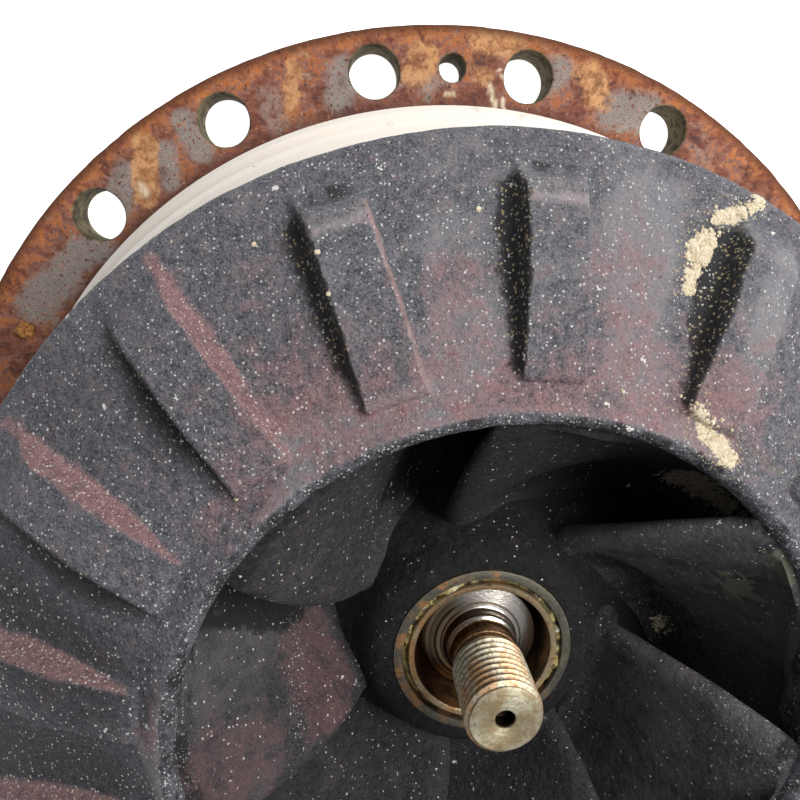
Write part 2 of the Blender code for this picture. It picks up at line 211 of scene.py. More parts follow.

# %% [markdown]
# Wear, dust, rust and painted shade sit at known places, so each mesh carries numbers that say
# how much of each a point has. Two slopes, one that rises and one that falls, and a soft stripe
# between two places make every such zone. Fractal noise lifts the points a little, which takes
# the perfect smoothness of a computed form away.

# %% Noise and painted zones
def lumps(points, size, octaves=3, seed=0.0):
    """Fractal noise, about -1 to 1, at each point. Size is the width of its largest lumps."""
    shift = Vector((seed, 1.7 * seed, -2.3 * seed))
    flat = points.reshape(-1, 3) / size
    made = [noise.fractal(Vector(p) + shift, 1.0, 2.0, octaves) for p in flat]
    return np.array(made).reshape(points.shape[:-1])


def from_axis(points):
    """Distance of each point from the shaft's axis."""
    return np.hypot(points[..., 0], points[..., 1])


def bearing(points):
    """Angle of each point about the shaft, in degrees."""
    return np.degrees(np.arctan2(points[..., 1], points[..., 0]))


def polar(radius, degrees):
    """A flat place from a distance and an angle."""
    return np.array((radius * math.cos(math.radians(degrees)), radius * math.sin(math.radians(degrees))))


def rise(value, start, width):
    """0 up to the start, then up to 1 over the width."""
    return np.clip((value - start) / width, 0, 1)


def fall(value, end, width):
    """0 past the end, and 1 from one width before it."""
    return np.clip((end - value) / width, 0, 1)


def stripe(points, start, end, reach, edge):
    """1 inside a rounded stripe between two (radius mm, degrees) places, 0 past its soft edge."""
    first, last = (polar(*place) * MM for place in (start, end))
    line = last - first
    flat = points[..., :2] - first
    share = np.clip(flat @ line / max(line @ line, 1e-12), 0, 1)
    away = np.linalg.norm(flat - share[..., None] * line, axis=-1)
    return fall(away, (reach + edge) * MM, edge * MM)


def zone(points, stripes):
    """The strongest of several stripes at each point."""
    made = np.zeros(points.shape[:-1])
    for start, end, reach, edge, strength in stripes:
        made = np.maximum(made, strength * stripe(points, start, end, reach, edge))
    return made


def paint(mesh, name, values):
    """Store one number for each point, which a material can read by name."""
    layer = mesh.attributes.new(name, "FLOAT", "POINT")
    layer.data.foreach_set("value", np.asarray(values, np.float32).reshape(-1))


print("a slope from 0 to 10 at 4:", rise(4, 0, 10), "and its fall:", fall(4, 10, 10))

# %% [markdown]
# A node material is easier to read as a recipe than as a tangle of boxes. This small class adds
# one node for each call and returns its output, so a finish below reads from the base colour up:
# clouds, grain, specks, then wear. All patterns use object coordinates, so they keep their real
# size in metres and stay on the piece when the rotor turns.

# %% Material helpers
class Finish:
    """One Principled material, built a node at a time."""

    def __init__(self, name, roughness=0.7, metallic=0.0, specular=0.5):
        self.material = bpy.data.materials.new(name)
        self.material.use_nodes = True
        self.tree = self.material.node_tree
        self.shader = self.tree.nodes["Principled BSDF"]
        self.shader.inputs["Roughness"].default_value = roughness
        self.shader.inputs["Metallic"].default_value = metallic
        self.shader.inputs["Specular IOR Level"].default_value = specular
        self.place = self.tree.nodes.new("ShaderNodeTexCoord").outputs["Object"]

    def feed(self, socket, value):
        """Put a number, a colour or another node's output into a socket."""
        if isinstance(value, bpy.types.NodeSocket):
            self.tree.links.new(value, socket)
        elif isinstance(value, tuple) and len(value) == 3 and socket.type == "RGBA":
            socket.default_value = (*value, 1.0)
        else:
            socket.default_value = value

    def node(self, kind, settings=None, **inputs):
        """Add a node; the names of its sockets are given with underscores for spaces."""
        made = self.tree.nodes.new(kind)
        for key, value in (settings or {}).items():
            setattr(made, key, value)
        for key, value in inputs.items():
            self.feed(made.inputs[key.replace("_", " ")], value)
        return made

    def noise(self, size, detail=3.0, rough=0.55, stretch=None, warp=0.0):
        """Soft cloudy values about 0.5, with lumps of the given size in metres."""
        place = self.place
        if stretch:
            place = self.node("ShaderNodeMapping", None, Vector=place, Scale=stretch).outputs[0]
        return self.node("ShaderNodeTexNoise", None, Vector=place, Scale=1 / size, Detail=detail,
                         Roughness=rough, Distortion=warp).outputs["Fac"]

    def ramp(self, value, low, high, soft=True):
        """0 below low and 1 above high."""
        kind = "SMOOTHSTEP" if soft else "LINEAR"
        made = self.node("ShaderNodeMapRange", {"interpolation_type": kind})
        self.feed(made.inputs["Value"], value)
        self.feed(made.inputs["From Min"], low)
        self.feed(made.inputs["From Max"], high)
        return made.outputs["Result"]

    def math(self, operation, first, second):
        """One operation on two values."""
        made = self.node("ShaderNodeMath", {"operation": operation})
        self.feed(made.inputs[0], first)
        self.feed(made.inputs[1], second)
        return made.outputs[0]

    def plus(self, first, second):
        """Two values added."""
        return self.math("ADD", first, second)

    def times(self, first, second):
        """Two values multiplied."""
        return self.math("MULTIPLY", first, second)

    def mix(self, share, first, second):
        """Blend two colours."""
        made = self.node("ShaderNodeMix", {"data_type": "RGBA"})
        self.feed(made.inputs["Factor"], share)
        self.feed(made.inputs[6], first)
        self.feed(made.inputs[7], second)
        return made.outputs[2]

    def blend(self, value, low, high, first, second):
        """The first colour where a value is below low, the second where it is above high."""
        return self.mix(self.ramp(value, low, high), first, second)

    def cover(self, colour, share, strength, coat):
        """Lay a coat over a colour: share says where, and strength how thick."""
        return self.mix(self.times(share, strength), colour, coat)

    def axis(self, letter):
        """One coordinate of the place on the piece."""
        return self.node("ShaderNodeSeparateXYZ", None, Vector=self.place).outputs[letter]

    def turning_marks(self, scale, detail):
        """Fine rings about the shaft, as a turning tool leaves them."""
        return self.node("ShaderNodeTexNoise", {"noise_dimensions": "1D"}, W=self.radius(), Scale=scale,
                         Detail=detail).outputs["Fac"]

    def warped(self, size, reach):
        """Object coordinates shifted by small noise, which frays the outline of a pattern."""
        shift = self.node("ShaderNodeTexNoise", None, Vector=self.place, Scale=1 / size, Detail=1.0)
        made = self.node("ShaderNodeVectorMath", {"operation": "MULTIPLY_ADD"})
        self.feed(made.inputs[0], shift.outputs["Color"])
        made.inputs[1].default_value = (reach, reach, reach)
        self.feed(made.inputs[2], self.place)
        return made.outputs[0]

    def specks(self, cell, size, share=1.0, seed=0.0, bend=1.0, place=None):
        """1 inside scattered frayed specks; size is their largest radius as a share of a cell."""
        if place is None:
            place = self.warped(0.30 * cell, 0.75 * cell)
        shift = (seed, -seed, 2 * seed)
        moved = self.node("ShaderNodeMapping", None, Vector=place, Location=shift).outputs[0]
        cells = self.node("ShaderNodeTexVoronoi", None, Vector=moved, Scale=1 / cell)
        dice = self.node("ShaderNodeSeparateColor", None, Color=cells.outputs["Color"])
        grown = self.ramp(dice.outputs[0], 1.0 - share, 1.0, soft=False)
        reach = self.times(self.math("POWER", grown, bend), size)
        away = self.math("SUBTRACT", reach, cells.outputs["Distance"])
        return self.ramp(away, 0.0, 0.2 * size)

    def bands(self, value, *stops):
        """Colours at positions along a value, blended between."""
        made = self.node("ShaderNodeValToRGB", None, Fac=value)
        marks = made.color_ramp.elements
        for k, (place, colour) in enumerate(stops):
            mark = marks[k] if k < 2 else marks.new(place)
            mark.position = place
            mark.color = (*colour, 1.0)
        return made.outputs["Color"]

    def frayed(self, name, wide, fine, low, high):
        """A painted zone whose edge is broken up by wide and fine noise."""
        shake = self.times(self.math("SUBTRACT", wide, 0.5), 1.7)
        shake = self.plus(shake, self.times(self.math("SUBTRACT", fine, 0.5), 1.3))
        return self.ramp(self.plus(self.painted(name), shake), low, high)

    def painted(self, name):
        """A number that was stored on the mesh."""
        return self.node("ShaderNodeAttribute", {"attribute_name": name}).outputs["Fac"]

    def radius(self):
        """Distance from the shaft's axis."""
        flat = self.node("ShaderNodeVectorMath", {"operation": "MULTIPLY"})
        self.feed(flat.inputs[0], self.place)
        flat.inputs[1].default_value = (1.0, 1.0, 0.0)
        length = self.node("ShaderNodeVectorMath", {"operation": "LENGTH"})
        self.feed(length.inputs[0], flat.outputs[0])
        return length.outputs["Value"]

    def bump(self, height, depth, strength=1.0):
        """Fine relief: depth in metres for a height of 1. Bumps stack when called again."""
        made = self.node("ShaderNodeBump")
        made.inputs["Strength"].default_value = strength
        made.inputs["Distance"].default_value = depth
        self.feed(made.inputs["Height"], height)
        old = self.shader.inputs["Normal"].links
        if old:
            self.feed(made.inputs["Normal"], old[0].from_socket)
        self.feed(self.shader.inputs["Normal"], made.outputs[0])

    def finish(self, colour, roughness=None):
        """Connect the colour and, if given, the roughness."""
        self.feed(self.shader.inputs["Base Color"], colour)
        if roughness is not None:
            self.feed(self.shader.inputs["Roughness"], roughness)
        return self.material


def scaled(colour, share):
    """A colour made darker or lighter."""
    return tuple(share * part for part in colour)


print("kinds of step in a finish:", len([name for name in vars(Finish) if not name.startswith("_")]))

# %% [markdown]
# The rubber lining is near black under a skin of dust. Seen close, it is a rough grain full of
# pale crystals of dried slurry. On the faces that met the flow it is worn to a reddish brown.
# Shade is painted on too: faces in shadow are painted black, some zones and vanes softly darker,
# and three vanes lighter as painted light. The mesh carries those zones as painted numbers, and
# the nodes break their edges up, because a clean edge would look like paint.

# %% Rubber colours
RUBBER_DARK = (0.030, 0.032, 0.039)
RUBBER_GREY = (0.147, 0.148, 0.168)
# The dust grey also lightens whole vanes as painted light.
DUST_AND_PAINTED_LIGHT_GREY = (0.216, 0.211, 0.226)
WORN_PINK = (0.278, 0.150, 0.152)
PALE_RIDGE = (0.42, 0.345, 0.335)
CRYSTAL = (0.60, 0.59, 0.56)
GOLDEN = (0.42, 0.335, 0.19)
SILT_GREEN = (0.110, 0.115, 0.082)
SCALE_CREAM = (0.66, 0.58, 0.43)
SCALE_BROWN = (0.36, 0.27, 0.155)
SCALE_RUST = (0.24, 0.10, 0.035)
BLACK = (0.005, 0.005, 0.006)
print("grey rubber over dark rubber:", round(RUBBER_GREY[0] / RUBBER_DARK[0], 1), "times as light")


# %% Rubber finish
def rubber_finish(name, grey, specks, gloss):
    """Worn rubber lining with crystals, dust, wear, painted shade and painted light; grey scales its
    lightness.
    """
    f = Finish(name, specular=gloss)
    clouds = f.noise(0.045, 3)
    patches = f.noise(0.011, 4, 0.6)
    lump = f.noise(0.0042, 4, 0.65)
    grain = f.noise(0.0011, 5, 0.8)
    mixed = f.plus(f.times(grain, 0.74), f.times(lump, 0.26))
    colour = f.blend(mixed, 0.39, 0.60, scaled(RUBBER_DARK, grey), scaled(RUBBER_GREY, grey))
    dust, pink = (scaled(coat, min(1.0, grey + 0.1)) for coat in (DUST_AND_PAINTED_LIGHT_GREY, WORN_PINK))
    dusty = f.blend(grain, 0.30, 0.60, scaled(dust, 0.72), dust)
    # The dust coat also carries painted light: an even share lightens whole vanes.
    colour = f.cover(colour, f.frayed("dust", clouds, patches, 0.15, 0.95), 0.80, dusty)
    worn = f.blend(mixed, 0.38, 0.60, scaled(pink, 0.5), pink)
    colour = f.cover(colour, f.frayed("worn", patches, lump, -0.05, 1.15), 0.9, worn)
    # Painted shade: faces in shadow are painted near black.
    colour = f.cover(colour, f.frayed("sheltered", patches, lump, 0.25, 0.70), 0.88, BLACK)
    colour = f.cover(colour, f.frayed("silt", patches, lump, 0.42, 0.60), 0.8, SILT_GREEN)
    colour = f.cover(colour, f.painted("pale"), f.ramp(grain, 0.30, 0.50), PALE_RIDGE)
    # Softer painted shade: whole zones and whole vanes are darkened toward black.
    colour = f.mix(f.painted("dim"), colour, BLACK)
    tiny_fray = f.warped(0.0005, 0.0012)
    wide_fray = f.warped(0.0016, 0.0042)
    pits = f.specks(0.0034, 0.20, 0.55, seed=0.7, bend=1.5, place=wide_fray)
    small = f.specks(0.0017, 0.36, specks, bend=1.5, place=tiny_fray)
    large = f.specks(0.0090, 0.20, 0.8 * specks, seed=0.3, bend=2.6, place=wide_fray)
    salt = f.times(f.specks(0.0013, 0.36, 1.0, seed=0.9, place=tiny_fray), f.painted("salt"))
    gold = f.times(f.specks(0.0018, 0.44, 1.0, seed=0.5, bend=0.8, place=tiny_fray), f.painted("gold"))
    for grains, strength, coat in ((pits, 0.65, BLACK), (small, 0.80, CRYSTAL), (salt, 0.85, CRYSTAL),
                                   (gold, 0.90, GOLDEN), (large, 0.95, CRYSTAL)):
        colour = f.cover(colour, grains, strength, coat)
    crusted = f.frayed("crust", lump, f.noise(0.0016, 4, 0.7), 0.47, 0.53)
    cream = f.blend(mixed, 0.40, 0.56, SCALE_BROWN, SCALE_CREAM)
    cream = f.cover(cream, f.ramp(f.noise(0.006, 3), 0.55, 0.70), 0.5, SCALE_RUST)
    f.bump(grain, 0.0007)
    f.bump(lump, 0.0024, 0.8)
    return f.finish(f.mix(crusted, colour, cream), f.ramp(grain, -0.9, 1.0, soft=False))


shroud_rubber = rubber_finish("shroud_rubber", 1.0, 0.95, gloss=0.35)
vane_rubber = rubber_finish("vane_rubber", 0.29, 0.30, gloss=0.30)
hub_rubber = rubber_finish("hub_rubber", 0.075, 0.10, gloss=0.20)
print("rubber finishes:", shroud_rubber.name, vane_rubber.name, hub_rubber.name)

# %% [markdown]
# The front shroud and its sixteen expelling ribs are one rubber moulding. Its upper face is a
# cone with a height added to it, so a sheet of rings can carry the ribs as well. The columns of
# that sheet run beside each rib, close together at its edges, which keeps those edges straight
# with few points. A rib's side has a steep draft and a round foot, as a mould needs.

# %% Rib shape
RIB_COUNT = 16
RIB_ANGLES_SHOWN = (62.6, 87.2, 109.1, 130.5, 151.9, 173.8, 194.5)
RIB_HALF_WIDTH = 13 * MM
RIB_DRAFT = 0.27
RIB_INNER = 167 * MM
RIB_FULL_FROM = 205 * MM
RIB_OUTER = 242 * MM
RIB_INNER_HEIGHT = 5 * MM
RIB_HEIGHT = 12.5 * MM
RIB_OUTER_DRAFT = 0.95
RIB_INNER_DRAFT = 0.35
RIB_FOOT = 4.5 * MM
RIB_EDGE = 1.8 * MM


def rib_angles():
    """The ribs that show keep their slightly uneven places; the others share the rest."""
    shown = list(RIB_ANGLES_SHOWN)
    step = (360 - shown[-1] + shown[0]) / (RIB_COUNT - len(shown) + 1)
    hidden = [shown[-1] + step * (k + 1) for k in range(RIB_COUNT - len(shown))]
    return np.radians(shown + hidden)


def soft_lower(a, b, reach):
    """The lower of two heights, rounded where they cross."""
    h = np.clip(0.5 + 0.5 * (b - a) / reach, 0, 1)
    return b * (1 - h) + a * h - reach * h * (1 - h)


def rib_side(beyond):
    """Height of a rib's side, from how far a point lies beyond its foot."""
    slant = math.hypot(1, RIB_DRAFT)
    centre = RIB_FOOT * (slant - RIB_DRAFT)
    meet = centre - RIB_FOOT / slant
    curve = RIB_FOOT - np.sqrt(np.maximum(RIB_FOOT ** 2 - (centre - beyond) ** 2, 0))
    steep = -beyond / RIB_DRAFT
    return np.where(beyond > centre, 0, np.where(beyond > meet, curve, steep))


def rib_height(along, side):
    """Height of a rib over the cone, at a place along and beside its middle line."""
    full = np.interp(along, (RIB_INNER, RIB_FULL_FROM), (RIB_INNER_HEIGHT, RIB_HEIGHT))
    wall = rib_side(np.abs(side) - RIB_HALF_WIDTH - RIB_DRAFT * full)
    outer = full + (RIB_OUTER - along) / RIB_OUTER_DRAFT
    inner = full + (along - RIB_INNER) / RIB_INNER_DRAFT
    top = soft_lower(full, np.minimum(outer, inner), RIB_EDGE * 2)
    top = -soft_lower(-top, 0.0, RIB_FOOT)
    return np.maximum(soft_lower(top, wall, RIB_EDGE * 1.5), 0) * (wall > 0)


print("rib height at mid length, mm:", round(1000 * float(rib_height(np.array(0.22), np.array(0.0))), 2))

# %% The shroud's cone and columns
IMPELLER_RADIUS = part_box("front_shroud")[1].x
CONE_EDGE_HEIGHT = 188 * MM
LIP_BASE = (157 * MM, 236 * MM)
LIP_FOOT = 167 * MM
SHROUD_UNDER = ((147.8, 233.5), (148.3, 228), (150, 220.5), (153, 212), (160, 203), (173, 194.5),
                (195, 187), (230, 177), (264, 166.6))
LIP = ((147.8, 233.5), (148.6, 236.7), (150.4, 239.2), (152.8, 240.4), (155.2, 239.9), (158, 238.0),
       (162, 235.0), (167, 231.7))
COLUMN_STOPS = (0, 4, 8, 10.6, 11.6, 12.3, 12.9, 13.4, 13.9, 14.5, 15.1, 15.7, 16.3, 16.9, 17.6, 18.5,
                19.8, 21.5)
GAP_PITCH = 2.4 * MM
GAP_COUNTED_AT = 210 * MM


def cone_height(radius):
    """Height of the shroud's conical face."""
    slope = (LIP_BASE[1] - CONE_EDGE_HEIGHT) / (IMPELLER_RADIUS - LIP_BASE[0])
    return CONE_EDGE_HEIGHT + slope * (IMPELLER_RADIUS - radius)


def column_angles(radius):
    """Angles of all columns at one radius: close beside each rib, then even over the gap."""
    stops = np.array(COLUMN_STOPS) * MM
    offsets = np.concatenate([-stops[:0:-1], stops])
    ribs = rib_angles()
    angles = []
    for k, here in enumerate(ribs):
        after = ribs[k + 1] if k + 1 < RIB_COUNT else ribs[0] + 2 * math.pi
        angles.append(here + np.arcsin(offsets / radius))
        reach = math.asin(offsets[-1] / radius)
        gap_at_middle = (after - here) * GAP_COUNTED_AT - 2 * offsets[-1]
        count = round(gap_at_middle / GAP_PITCH)
        share = np.arange(1, count) / count
        angles.append(here + reach + share * (after - here - 2 * reach))
    return np.concatenate(angles)


print("columns in the shroud's sheet:", len(column_angles(GAP_COUNTED_AT)))

# %% [markdown]
# Wear follows the flow. The rib faces that look clockwise are scoured and brownish pink, and
# the faces behind them are painted black as shade. Dust lies in pale fields between some ribs,
# and the lower left of the shroud is softly darkened as painted shade. Dried cream scale clings
# beside one rib and at the eye. Each zone is a soft stripe on the shroud, placed by its distance
# from the shaft in millimetres and its angle in degrees.

# %% Zones of wear, deposits and painted shade
WORN_STRIPES = (
    ((176, 122), (176, 62), 4, 44, 0.70), ((214, 78), (180, 76), 6, 22, 0.50),
    ((178, 120), (168, 140), 3, 17, 0.38), ((159, 130), (158, 178), 3, 7, 0.55),
    ((215, 141), (195, 141), 4, 12, 0.12), ((230, 120), (200, 118), 5, 20, 0.22),
    ((162, 112), (162, 70), 3, 9, 0.60), ((204, 98), (176, 98), 8, 16, 0.50),
)
DUST_STRIPES = (
    ((243, 77), (206, 76), 10, 16, 1.05), ((206, 76), (176, 74), 8, 16, 0.90),
    ((240, 60), (176, 60), 9, 9, 0.80), ((262, 80), (250, 76), 8, 12, 0.60),
    ((163, 112), (163, 60), 4, 10, 0.95), ((160, 125), (158, 178), 3.5, 6, 1.05),
    ((158, 178), (158, 205), 3.5, 6, 1.0), ((220, 98), (178, 98), 9, 16, 0.70),
    ((256, 98), (244, 90), 6, 16, 0.45), ((225, 109), (205, 109), 8, 8, 0.25),
    ((168, 124), (168, 98), 5, 9, 0.75),
)
# Painted shade on the lower left of the shroud.
PAINTED_SHADE_STRIPES = (
    ((262, 164), (190, 171), 12, 34, 0.66), ((262, 186), (190, 186), 12, 34, 0.66),
    ((262, 143), (235, 143), 8, 26, 0.22),
)
CRUST_STRIPES = (
    ((236.5, 69.4), (230, 69.9), 4.8, 3.0, 0.88), ((230, 69.9), (214, 70.3), 2.1, 3.0, 0.82),
    ((268, 64.2), (261, 65.4), 1.8, 2.6, 0.82), ((256, 66.2), (248, 68.8), 2.2, 2.6, 0.84),
    ((163, 63.0), (158.6, 57.4), 3.0, 4.0, 0.74), ((169, 65.6), (163, 62.0), 1.4, 5.0, 0.62),
)
SILT_STRIPE = ((155, 40), (155, 64), 8, 12)
print("stripes of wear, dust and crust:", len(WORN_STRIPES), len(DUST_STRIPES), len(CRUST_STRIPES))

# %% Outline of the front shroud
UNDER_PITCH = 6 * MM
LIP_PITCH = 1.1 * MM
CONE_PITCH = 2.1 * MM
RIM_PITCH = 2 * MM
RIM_INSET = 2.5 * MM
RIM_ROUND = 2.2 * MM
RIM_CORNERS = ((0.2655, 0.1891), (0.268, 0.1875), (0.268, 0.1665), (0.264, 0.1663))
CONE_SLACK = 0.5 * MM


def shroud_profile():
    """The closed outline of the shroud: under side, lip, cone and rim."""
    under = outline(in_metres(SHROUD_UNDER[::-1]), UNDER_PITCH)
    lip = outline(in_metres(LIP), LIP_PITCH)
    start, end = LIP_FOOT, IMPELLER_RADIUS - RIM_INSET
    cone = outline(((start, cone_height(start)), (end, cone_height(end))), CONE_PITCH, True)
    corner = ARC_STEPS + 1
    rim = outline(round_corners(RIM_CORNERS, RIM_ROUND)[corner:3 * corner], RIM_PITCH, True)
    return np.vstack([under[:-1], lip[:-1], cone, rim])


def shroud_rows():
    """All rings of the shroud, with the rib heights added on the cone."""
    rows = []
    for radius, height in shroud_profile():
        angle = column_angles(radius)
        rows.append(np.stack([radius * np.cos(angle), radius * np.sin(angle), 0 * angle + height], -1))
    rows = np.array(rows)
    radius = from_axis(rows)
    turn = np.arctan2(rows[..., 1], rows[..., 0])[..., None] - rib_angles()
    turn = (turn + math.pi) % (2 * math.pi) - math.pi
    nearest = np.take_along_axis(turn, np.abs(turn).argmin(-1)[..., None], -1)[..., 0]
    on_cone = (rows[..., 2] > cone_height(radius) - CONE_SLACK) & (radius > LIP_BASE[0])
    side = radius * np.sin(nearest)
    rows[..., 2] += np.where(on_cone, rib_height(radius * np.cos(nearest), side), 0)
    return rows, side


rows, side = shroud_rows()
print("rings and points in each:", rows.shape[:2])

# %% Front shroud with its ribs
GRAIN_DEPTH = 0.28 * MM
WAVE_DEPTH = 0.5 * MM
CRUST_THICKNESS = 1.3 * MM

# The rings start under the shroud, so its faces and their normals point inward at first.
normal = -row_normals(rows, True)
crust = zone(rows, CRUST_STRIPES)
relief = lumps(rows, 7 * MM, 4) * GRAIN_DEPTH + lumps(rows, 45 * MM, 2, 5.0) * WAVE_DEPTH
relief += np.clip(crust * 1.6 + 0.6 * lumps(rows, 6 * MM, 3, 9.0) - 0.5, 0, 1) * CRUST_THICKNESS
shroud_mesh = sheet_mesh("rubber_front_shroud", rows + normal * relief[..., None], True)
shroud_mesh.flip_normals()
print("thickest grain and crust, mm:", round(1000 * relief.max(), 2))

# %% [markdown]
# The ribs in the middle of the picture are seen from above, and those at its left from the side,
# so they get their wear and painted shade in two ways. In the middle it is a thin worn line on
# one rib's edge, a pale ridge where each flat top ends, and a side painted black as shade. At the
# left whole rib sides are scoured, and a painted shadow behind them fades out in a wide bulge.

# %% Wear and painted shade beside the ribs
SIDE_BEARINGS = (50, 118)
RIB_WEAR_FROM = 162 * MM
RIB_WEAR_TO = 267 * MM
SPREAD_FROM = 168 * MM
SCOURED_FROM = 11.5 * MM
SCOURED_TO = 21 * MM
THIN_LINE = 14.6 * MM
THIN_BEARING = 109
THIN_TO = 245 * MM
WIDE_SHADOW_BEARING = 66

radius = from_axis(rows)
turn = bearing(rows)
beyond = np.abs(side)
steep = np.clip(1.2 - np.abs(normal[..., 2]), 0, 1)
by_far = (turn > SIDE_BEARINGS[1]) | (turn < SIDE_BEARINGS[0])
by_rib = rise(radius, RIB_WEAR_FROM, 10 * MM) * fall(radius, RIB_WEAR_TO, 6 * MM)
thin = fall(beyond, THIN_LINE, 0.7 * MM) * (np.abs(turn - THIN_BEARING) < 11) * (radius < THIN_TO)
taper = (4 + 10 * rise(radius, SPREAD_FROM, 75 * MM)) * MM
beside = rise(beyond, SCOURED_FROM, 2 * MM) * fall(beyond, SCOURED_TO, 4 * MM)
beside *= fall(beyond, 10 * MM + taper, 1.5 * MM)
scoured = beside * by_rib * (side < 0) * np.clip(0.45 + 0.9 * steep, 0, 1) * np.where(by_far, 1.15, thin)
shadow = (19 + 8 * rise(radius, SPREAD_FROM, 45 * MM)) * MM
shadow += 9 * MM * (np.abs(turn - WIDE_SHADOW_BEARING) < 9) * rise(radius, 190 * MM, 50 * MM)
# Painted shadow on the rib sides that face away from the lamp.
shadowed_side = rise(side, 10.5 * MM, 3 * MM) * fall(side, shadow, 9 * MM) * by_rib
shadowed_side *= fall(radius, 250 * MM, 8 * MM) * np.where(by_far, 0.55, 1.0)
# A wider, softer painted shadow beside the ribs at the left, widest at mid length.
bulge = (22 + 6 * (turn > 140) + 16 * np.sin(rise(radius, SPREAD_FROM, 86 * MM) * math.pi)) * MM
soft_shadow = 0.86 * fall(side, bulge, 16 * MM) ** 1.3 * rise(side, 11 * MM, 2 * MM)
soft_shadow *= by_rib * (turn > SIDE_BEARINGS[1])
print("share of points with scoured rubber:", round(float((scoured > 0.5).mean()), 3))

# %% Wear and painted shade on the rib tops and at the eye
TOP_HALF_WIDTH = 13.2 * MM
TOP_BEARING = 98
RIDGE_RADIUS = 238.5 * MM
OUTER_SLOPE_TO = 247.5 * MM
SHADE_RADIUS = 250 * MM
EYE_BAND_TO = 155.2 * MM
EYE_SALT_ABOVE = 233.5 * MM

upper_face = rows[..., 2] > cone_height(radius) - 1.0 * MM
on_top = (beyond < TOP_HALF_WIDTH) & (np.abs(turn - TOP_BEARING) < 20)
ridge = on_top * np.clip(1.4 - np.abs(radius - RIDGE_RADIUS) / (2.4 * MM), 0, 1) * 0.80
outer_slope = on_top * (radius > RIDGE_RADIUS) * fall(radius, OUTER_SLOPE_TO, 2 * MM)
# Painted shade at the foot of the middle ribs' outer ends.
shade = on_top * fall(beyond, 14 * MM, 5 * MM) * np.where(turn > TOP_BEARING, 0.52, 0.42)
shade *= np.clip(1.5 - np.abs(radius - SHADE_RADIUS) / (4 * MM), 0, 1)
# The band round the eye gets painted shade, and pale crystals on its top.
eye_band = fall(radius, EYE_BAND_TO, 2.0 * MM)
top_dust = 0.22 * (beyond < 13 * MM) * ~by_far
print("share of points in the band round the eye:", round(float((eye_band > 0.5).mean()), 3))

# %% Painting the shroud
worn = np.maximum.reduce([zone(rows, WORN_STRIPES), scoured, 0.3 * ridge]) * (1 - eye_band)
dust = np.maximum.reduce([zone(rows, DUST_STRIPES), 1.25 * ridge, top_dust]) * (1 - eye_band)
halo = zone(rows, [(start, end, reach + 3, 9, 0.9) for start, end, reach, _, _ in CRUST_STRIPES])
pale = np.maximum.reduce([0.50 * ridge, 0.16 * outer_slope, 0.30 * thin * (side < -12 * MM) * by_rib])
# Painted shade on the lower left, weaker where the rubber is scoured.
dark = zone(rows, PAINTED_SHADE_STRIPES) * (1 - 0.8 * np.clip(scoured, 0, 1))
for name, values in {
    "worn": worn,
    "dust": dust,
    "dim": np.maximum(dark, soft_shadow),
    "gold": np.maximum(shadowed_side, halo),
    "pale": pale * (0.75 + 0.7 * lumps(rows, 6 * MM, 2, 8.0)),
    "crust": crust,
}.items():
    paint(shroud_mesh, name, values * upper_face)
# Painted shade: the rib sides away from the lamp, the foot of the rib ends, the band round the eye and the
# shroud's underside.
sheltered = [shadowed_side * upper_face, shade * upper_face, 0.46 * eye_band, 0.3 * (1 - upper_face)]
paint(shroud_mesh, "sheltered", np.maximum.reduce(sheltered))
side_salt = 0.75 * scoured * by_far * (radius > LIP_BASE[0])
paint(shroud_mesh, "salt", np.maximum(eye_band * (rows[..., 2] > EYE_SALT_ABOVE), side_salt))
inside_eye = (radius < 175 * MM) * (rows[..., 2] < 232 * MM)
paint(shroud_mesh, "silt", stripe(rows, *SILT_STRIPE) * inside_eye)
rib_names = [f"rib_{k + 1:02d}" for k in range(RIB_COUNT)]
add_piece("rubber_front_shroud", shroud_mesh, "rotor", shroud_rubber,
          ["front_shroud", *rib_names], sharp=60)

# %% [markdown]
# Dried scale sheds crumbs, and single chips of it lie about. Each one is a small ball of
# triangles that noise has pushed out of shape. A seeded dice places them along the deposits, at
# the height of the shroud under them, so that they rest on it and look the same in each run.

# %% Crumbs of scale
CHIP_PLACES = (
    (233.2, 94.8, 1.3), (230.7, 111.9, 1.2), (243.6, 117.6, 1.1),
    (214.6, 112.4, 0.9), (165.4, 76.6, 0.9), (166.8, 135.2, 0.9),
)
CRUMB_COUNT = 90
CRUMB_BROWN = (0.36, 0.28, 0.17)
CRUMB_CREAM = (0.62, 0.55, 0.41)
CONE_SPAN = (157, 264)
SMALL_BALL = 3


def scale_colour():
    """Cream crumbs with brown dirt."""
    f = Finish("dried_scale", roughness=0.85, specular=0.3)
    grain = f.noise(0.0011, 4, 0.7)
    f.bump(grain, 0.0004)
    return f.finish(f.blend(grain, 0.36, 0.58, CRUMB_BROWN, CRUMB_CREAM))


def lump_mesh(name, places):
    """Small uneven balls; a place is (radius mm, degrees, half width mm, flatness, base height m)."""
    bm = bmesh.new()
    for radius, degrees, size, flatness, base in places:
        detail = 2 if size < SMALL_BALL else 4
        made = bmesh.ops.create_icosphere(bm, subdivisions=detail, radius=size * MM)["verts"]
        middle = Vector((*polar(radius, degrees), 0)) * MM
        middle.z = base + 0.3 * flatness * size * MM
        for point in made:
            push = 1 + 0.42 * noise.noise(point.co / (size * MM) * 1.3 + Vector((radius, degrees, 0)))
            point.co = Vector((point.co.x * push, point.co.y * push, point.co.z * push * flatness)) + middle
    mesh = bpy.data.meshes.new(name)
    bm.to_mesh(mesh)
    bm.free()
    return mesh


